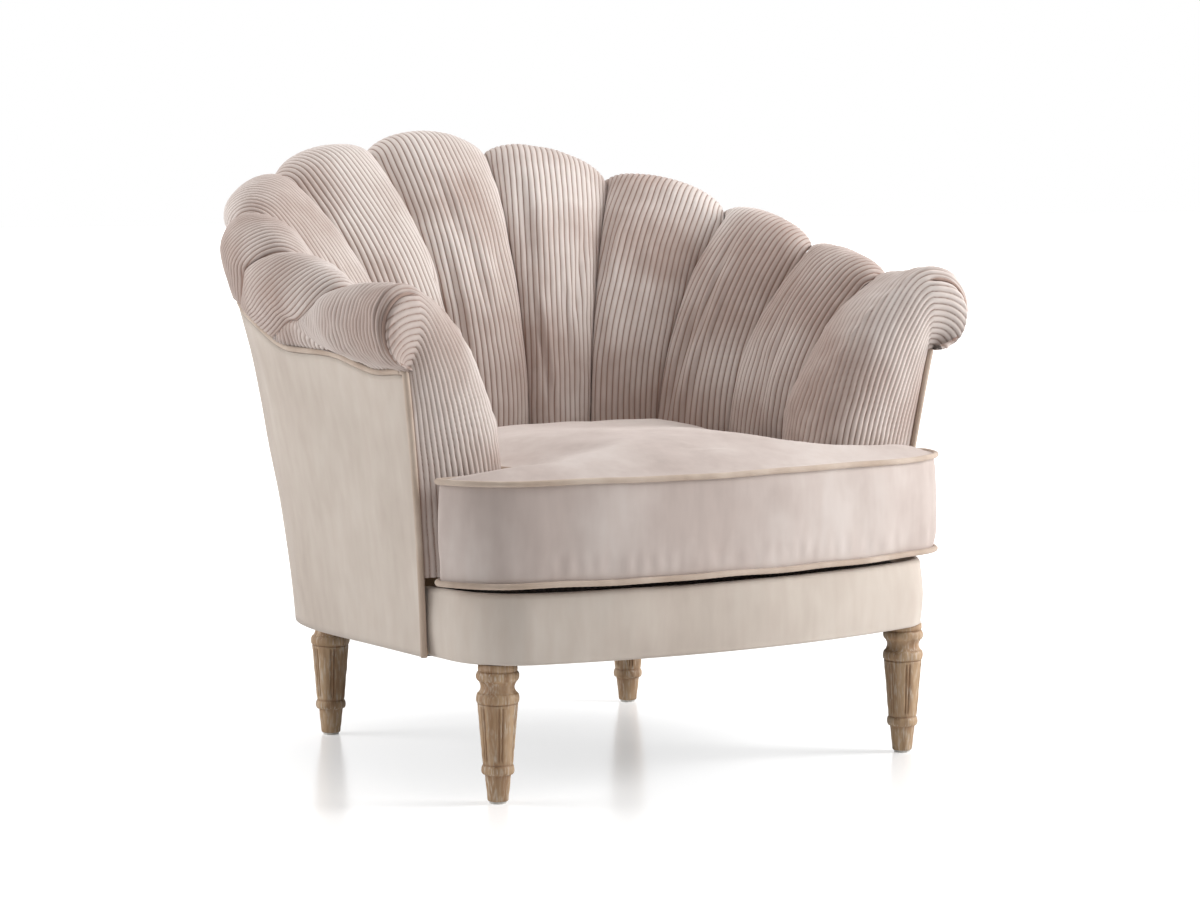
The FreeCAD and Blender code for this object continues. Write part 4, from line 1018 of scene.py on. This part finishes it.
FLUTE_PAIRS, FLUTE_PLACES, FLUTE_START = 6, (-5.5, 5.5), 8  # degrees round the leg
FLUTE_TOP, FLUTE_FOOT, FLUTE_END = 0.1265, 0.0545, 0.0022
FLUTE_DEPTH, FLUTE_HALF = 0.0018, 2.2
TAPER_TOP, TAPER_FOOT, TAPER_RADII = 0.1285, 0.0515, (0.0260, 0.0195)
TIP_TOP, TIP_FOOT, TIP_RADII = 0.0362, 0.0045, (0.0168, 0.0134)
LEG_WEAR = 0.00022


def bead(centre, half, low, out):
    """Round bead on a leg: middle height, half height, least radius, and how far it stands out"""
    return [(centre + half * math.sin(turn), low + out * math.cos(turn))
            for turn in np.linspace(math.pi / 2, -math.pi / 2, 11)]


def taper(top, foot, radii, count):
    """Straight part of a leg"""
    return [(top + (foot - top) * t, radii[0] + (radii[1] - radii[0]) * t) for t in np.linspace(0, 1, count)]


def leg_profile():
    """Height and radius down the leg, with true round beads and a cove for the neck"""
    rows = [(0.180, 0.0252), (0.174, 0.0255), (0.1705, 0.0252)] + bead(0.1645, 0.0060, 0.0248, 0.0030)
    for t in np.linspace(0, 1, 13)[1:-1]:
        rows.append((0.158 - 0.015 * t, 0.0250 - 0.0032 * math.sin(math.pi * t) ** 0.8))
    rows += bead(0.136, 0.0070, 0.0246, 0.0031) + taper(TAPER_TOP, TAPER_FOOT, TAPER_RADII, 40)
    rows += bead(0.0440, 0.0062, 0.0186, 0.0026) + [(0.0372, 0.0172)]
    return rows + taper(TIP_TOP, TIP_FOOT, TIP_RADII, 10) + [(0.0032, 0.0125)]


def turned_leg(name, x, y, seed):
    heights, radii = np.array(leg_profile()).T
    turns = np.linspace(0, 2 * math.pi, 180, endpoint=False)
    round_x, round_y = np.cos(turns), np.sin(turns)
    fluted = unit((FLUTE_TOP - heights) / FLUTE_END) * unit((heights - FLUTE_FOOT) / FLUTE_END)
    cut = np.zeros(len(turns))
    for pair in range(FLUTE_PAIRS):
        for place in FLUTE_PLACES:
            off = (np.degrees(turns) - 360 / FLUTE_PAIRS * pair - place - FLUTE_START + 180) % 360 - 180
            cut = np.maximum(cut, np.exp(-(off / FLUTE_HALF) ** 2))
    reach = radii[:, None] - FLUTE_DEPTH * cut[None, :] * fluted[:, None]
    points = np.stack([reach * round_x, reach * round_y, np.repeat(heights[:, None], len(turns), axis=1)],
                      axis=2)
    wear = LEG_WEAR * waves(points, 0.012, seed)
    points[..., 0] += wear * round_x
    points[..., 1] += wear * round_y
    # painted shade: the coves of the profile and the flutes give a rib value that the material paints darker
    cove_shade = unit(np.gradient(np.gradient(radii)) / 0.0006)
    cove_shade = np.convolve(cove_shade, [0.25, 0.5, 0.25], mode="same")
    rib = unit(cove_shade[:, None] + cut[None, :] * fluted[:, None] * 0.9)
    points += np.array([x, y, 0])
    piece = grid_piece(name + "_oak", points, LIMED_OAK, caps=True, rib=rib)
    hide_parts(name)
    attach(piece, "chair")


for seed, (name, x, y) in enumerate((("leg_front_left", 0.331, -0.300), ("leg_front_right", -0.331, -0.300),
                                     ("leg_back_left", 0.257, 0.266), ("leg_back_right", -0.257, 0.266))):
    turned_leg(name, x, y, 50 + seed)

# Floor, light and camera


def stage_floor():
    """White floor that keeps the shadow and a faint reflection, and glows for the camera further out"""
    material, tree, shader = new_material("studio_floor")
    radius = add_node(tree, "VectorMath", {0: object_place(tree)}, operation="LENGTH")["Value"]
    lift = add_node(tree, "MapRange", {"Value": radius, "From Min": 0.7, "From Max": 2.6, "To Min": 0.34,
                                       "To Max": 1.0}, interpolation_type="SMOOTHSTEP")["Result"]
    seen = add_node(tree, "LightPath", {})["Is Camera Ray"]
    glow = add_node(tree, "Math", {0: lift, 1: seen}, operation="MULTIPLY")[0]
    fill_in(tree, shader, {"Base Color": (*grey(0.93), 1), "Roughness": 0.20, "Specular IOR Level": 0.45,
                           "Emission Color": (*grey(1), 1), "Emission Strength": glow})
    bpy.ops.mesh.primitive_plane_add(size=60, location=(0, 0, 0))
    floor = bpy.context.object
    floor.name = "studio_floor"
    floor.data.materials.append(material)


def world_light():
    """White to the camera and in reflections, and a plain level of light on the chair"""
    world = bpy.data.worlds.new("studio")
    bpy.context.scene.world = world
    world.use_nodes = True
    tree = world.node_tree
    path = add_node(tree, "LightPath", {})
    seen = add_node(tree, "Math", {0: path["Is Camera Ray"], 1: path["Is Glossy Ray"]},
                    operation="MAXIMUM")[0]
    level = add_node(tree, "MapRange", {"Value": seen, "To Min": 0.37, "To Max": 1.0})["Result"]
    fill_in(tree, tree.nodes["Background"], {"Strength": level, "Color": (*grey(1), 1)})


def area_light(name, place, target, size, power):
    data = bpy.data.lights.new(name, "AREA")
    data.shape = "RECTANGLE"
    data.size, data.size_y = size
    data.energy = power
    lamp = bpy.data.objects.new(name, data)
    lamp.location = place
    lamp.rotation_euler = (Vector(target) - Vector(place)).to_track_quat("-Z", "Y").to_euler()
    bpy.context.scene.collection.objects.link(lamp)


stage_floor()
world_light()
area_light("key_right", (2.7, -1.8, 1.6), (0.0, -0.1, 0.45), (1.4, 1.8), 108)
area_light("fill_left", (-2.7, 1.7, 1.3), (0.0, 0.0, 0.4), (1.8, 2.2), 52)
area_light("top", (0.1, 0.2, 3.0), (0.0, 0.0, 0.4), (2.0, 2.0), 30)

scene = bpy.context.scene
scene.view_settings.view_transform = "Standard"
scene.view_settings.look = "None"
camera_data = bpy.data.cameras.new("camera")
camera = bpy.data.objects.new("camera", camera_data)
camera_data.lens = 100.5
camera_data.sensor_width = 36
camera_data.clip_end = 200
yaw, pitch = math.radians(33.9), math.radians(5.11)
camera.location = (-2.579, -3.922, 0.828)
ahead = Vector((math.sin(yaw) * math.cos(pitch), math.cos(yaw) * math.cos(pitch), -math.sin(pitch)))
camera.rotation_euler = ahead.to_track_quat("-Z", "Y").to_euler()
scene.collection.objects.link(camera)
scene.camera = camera
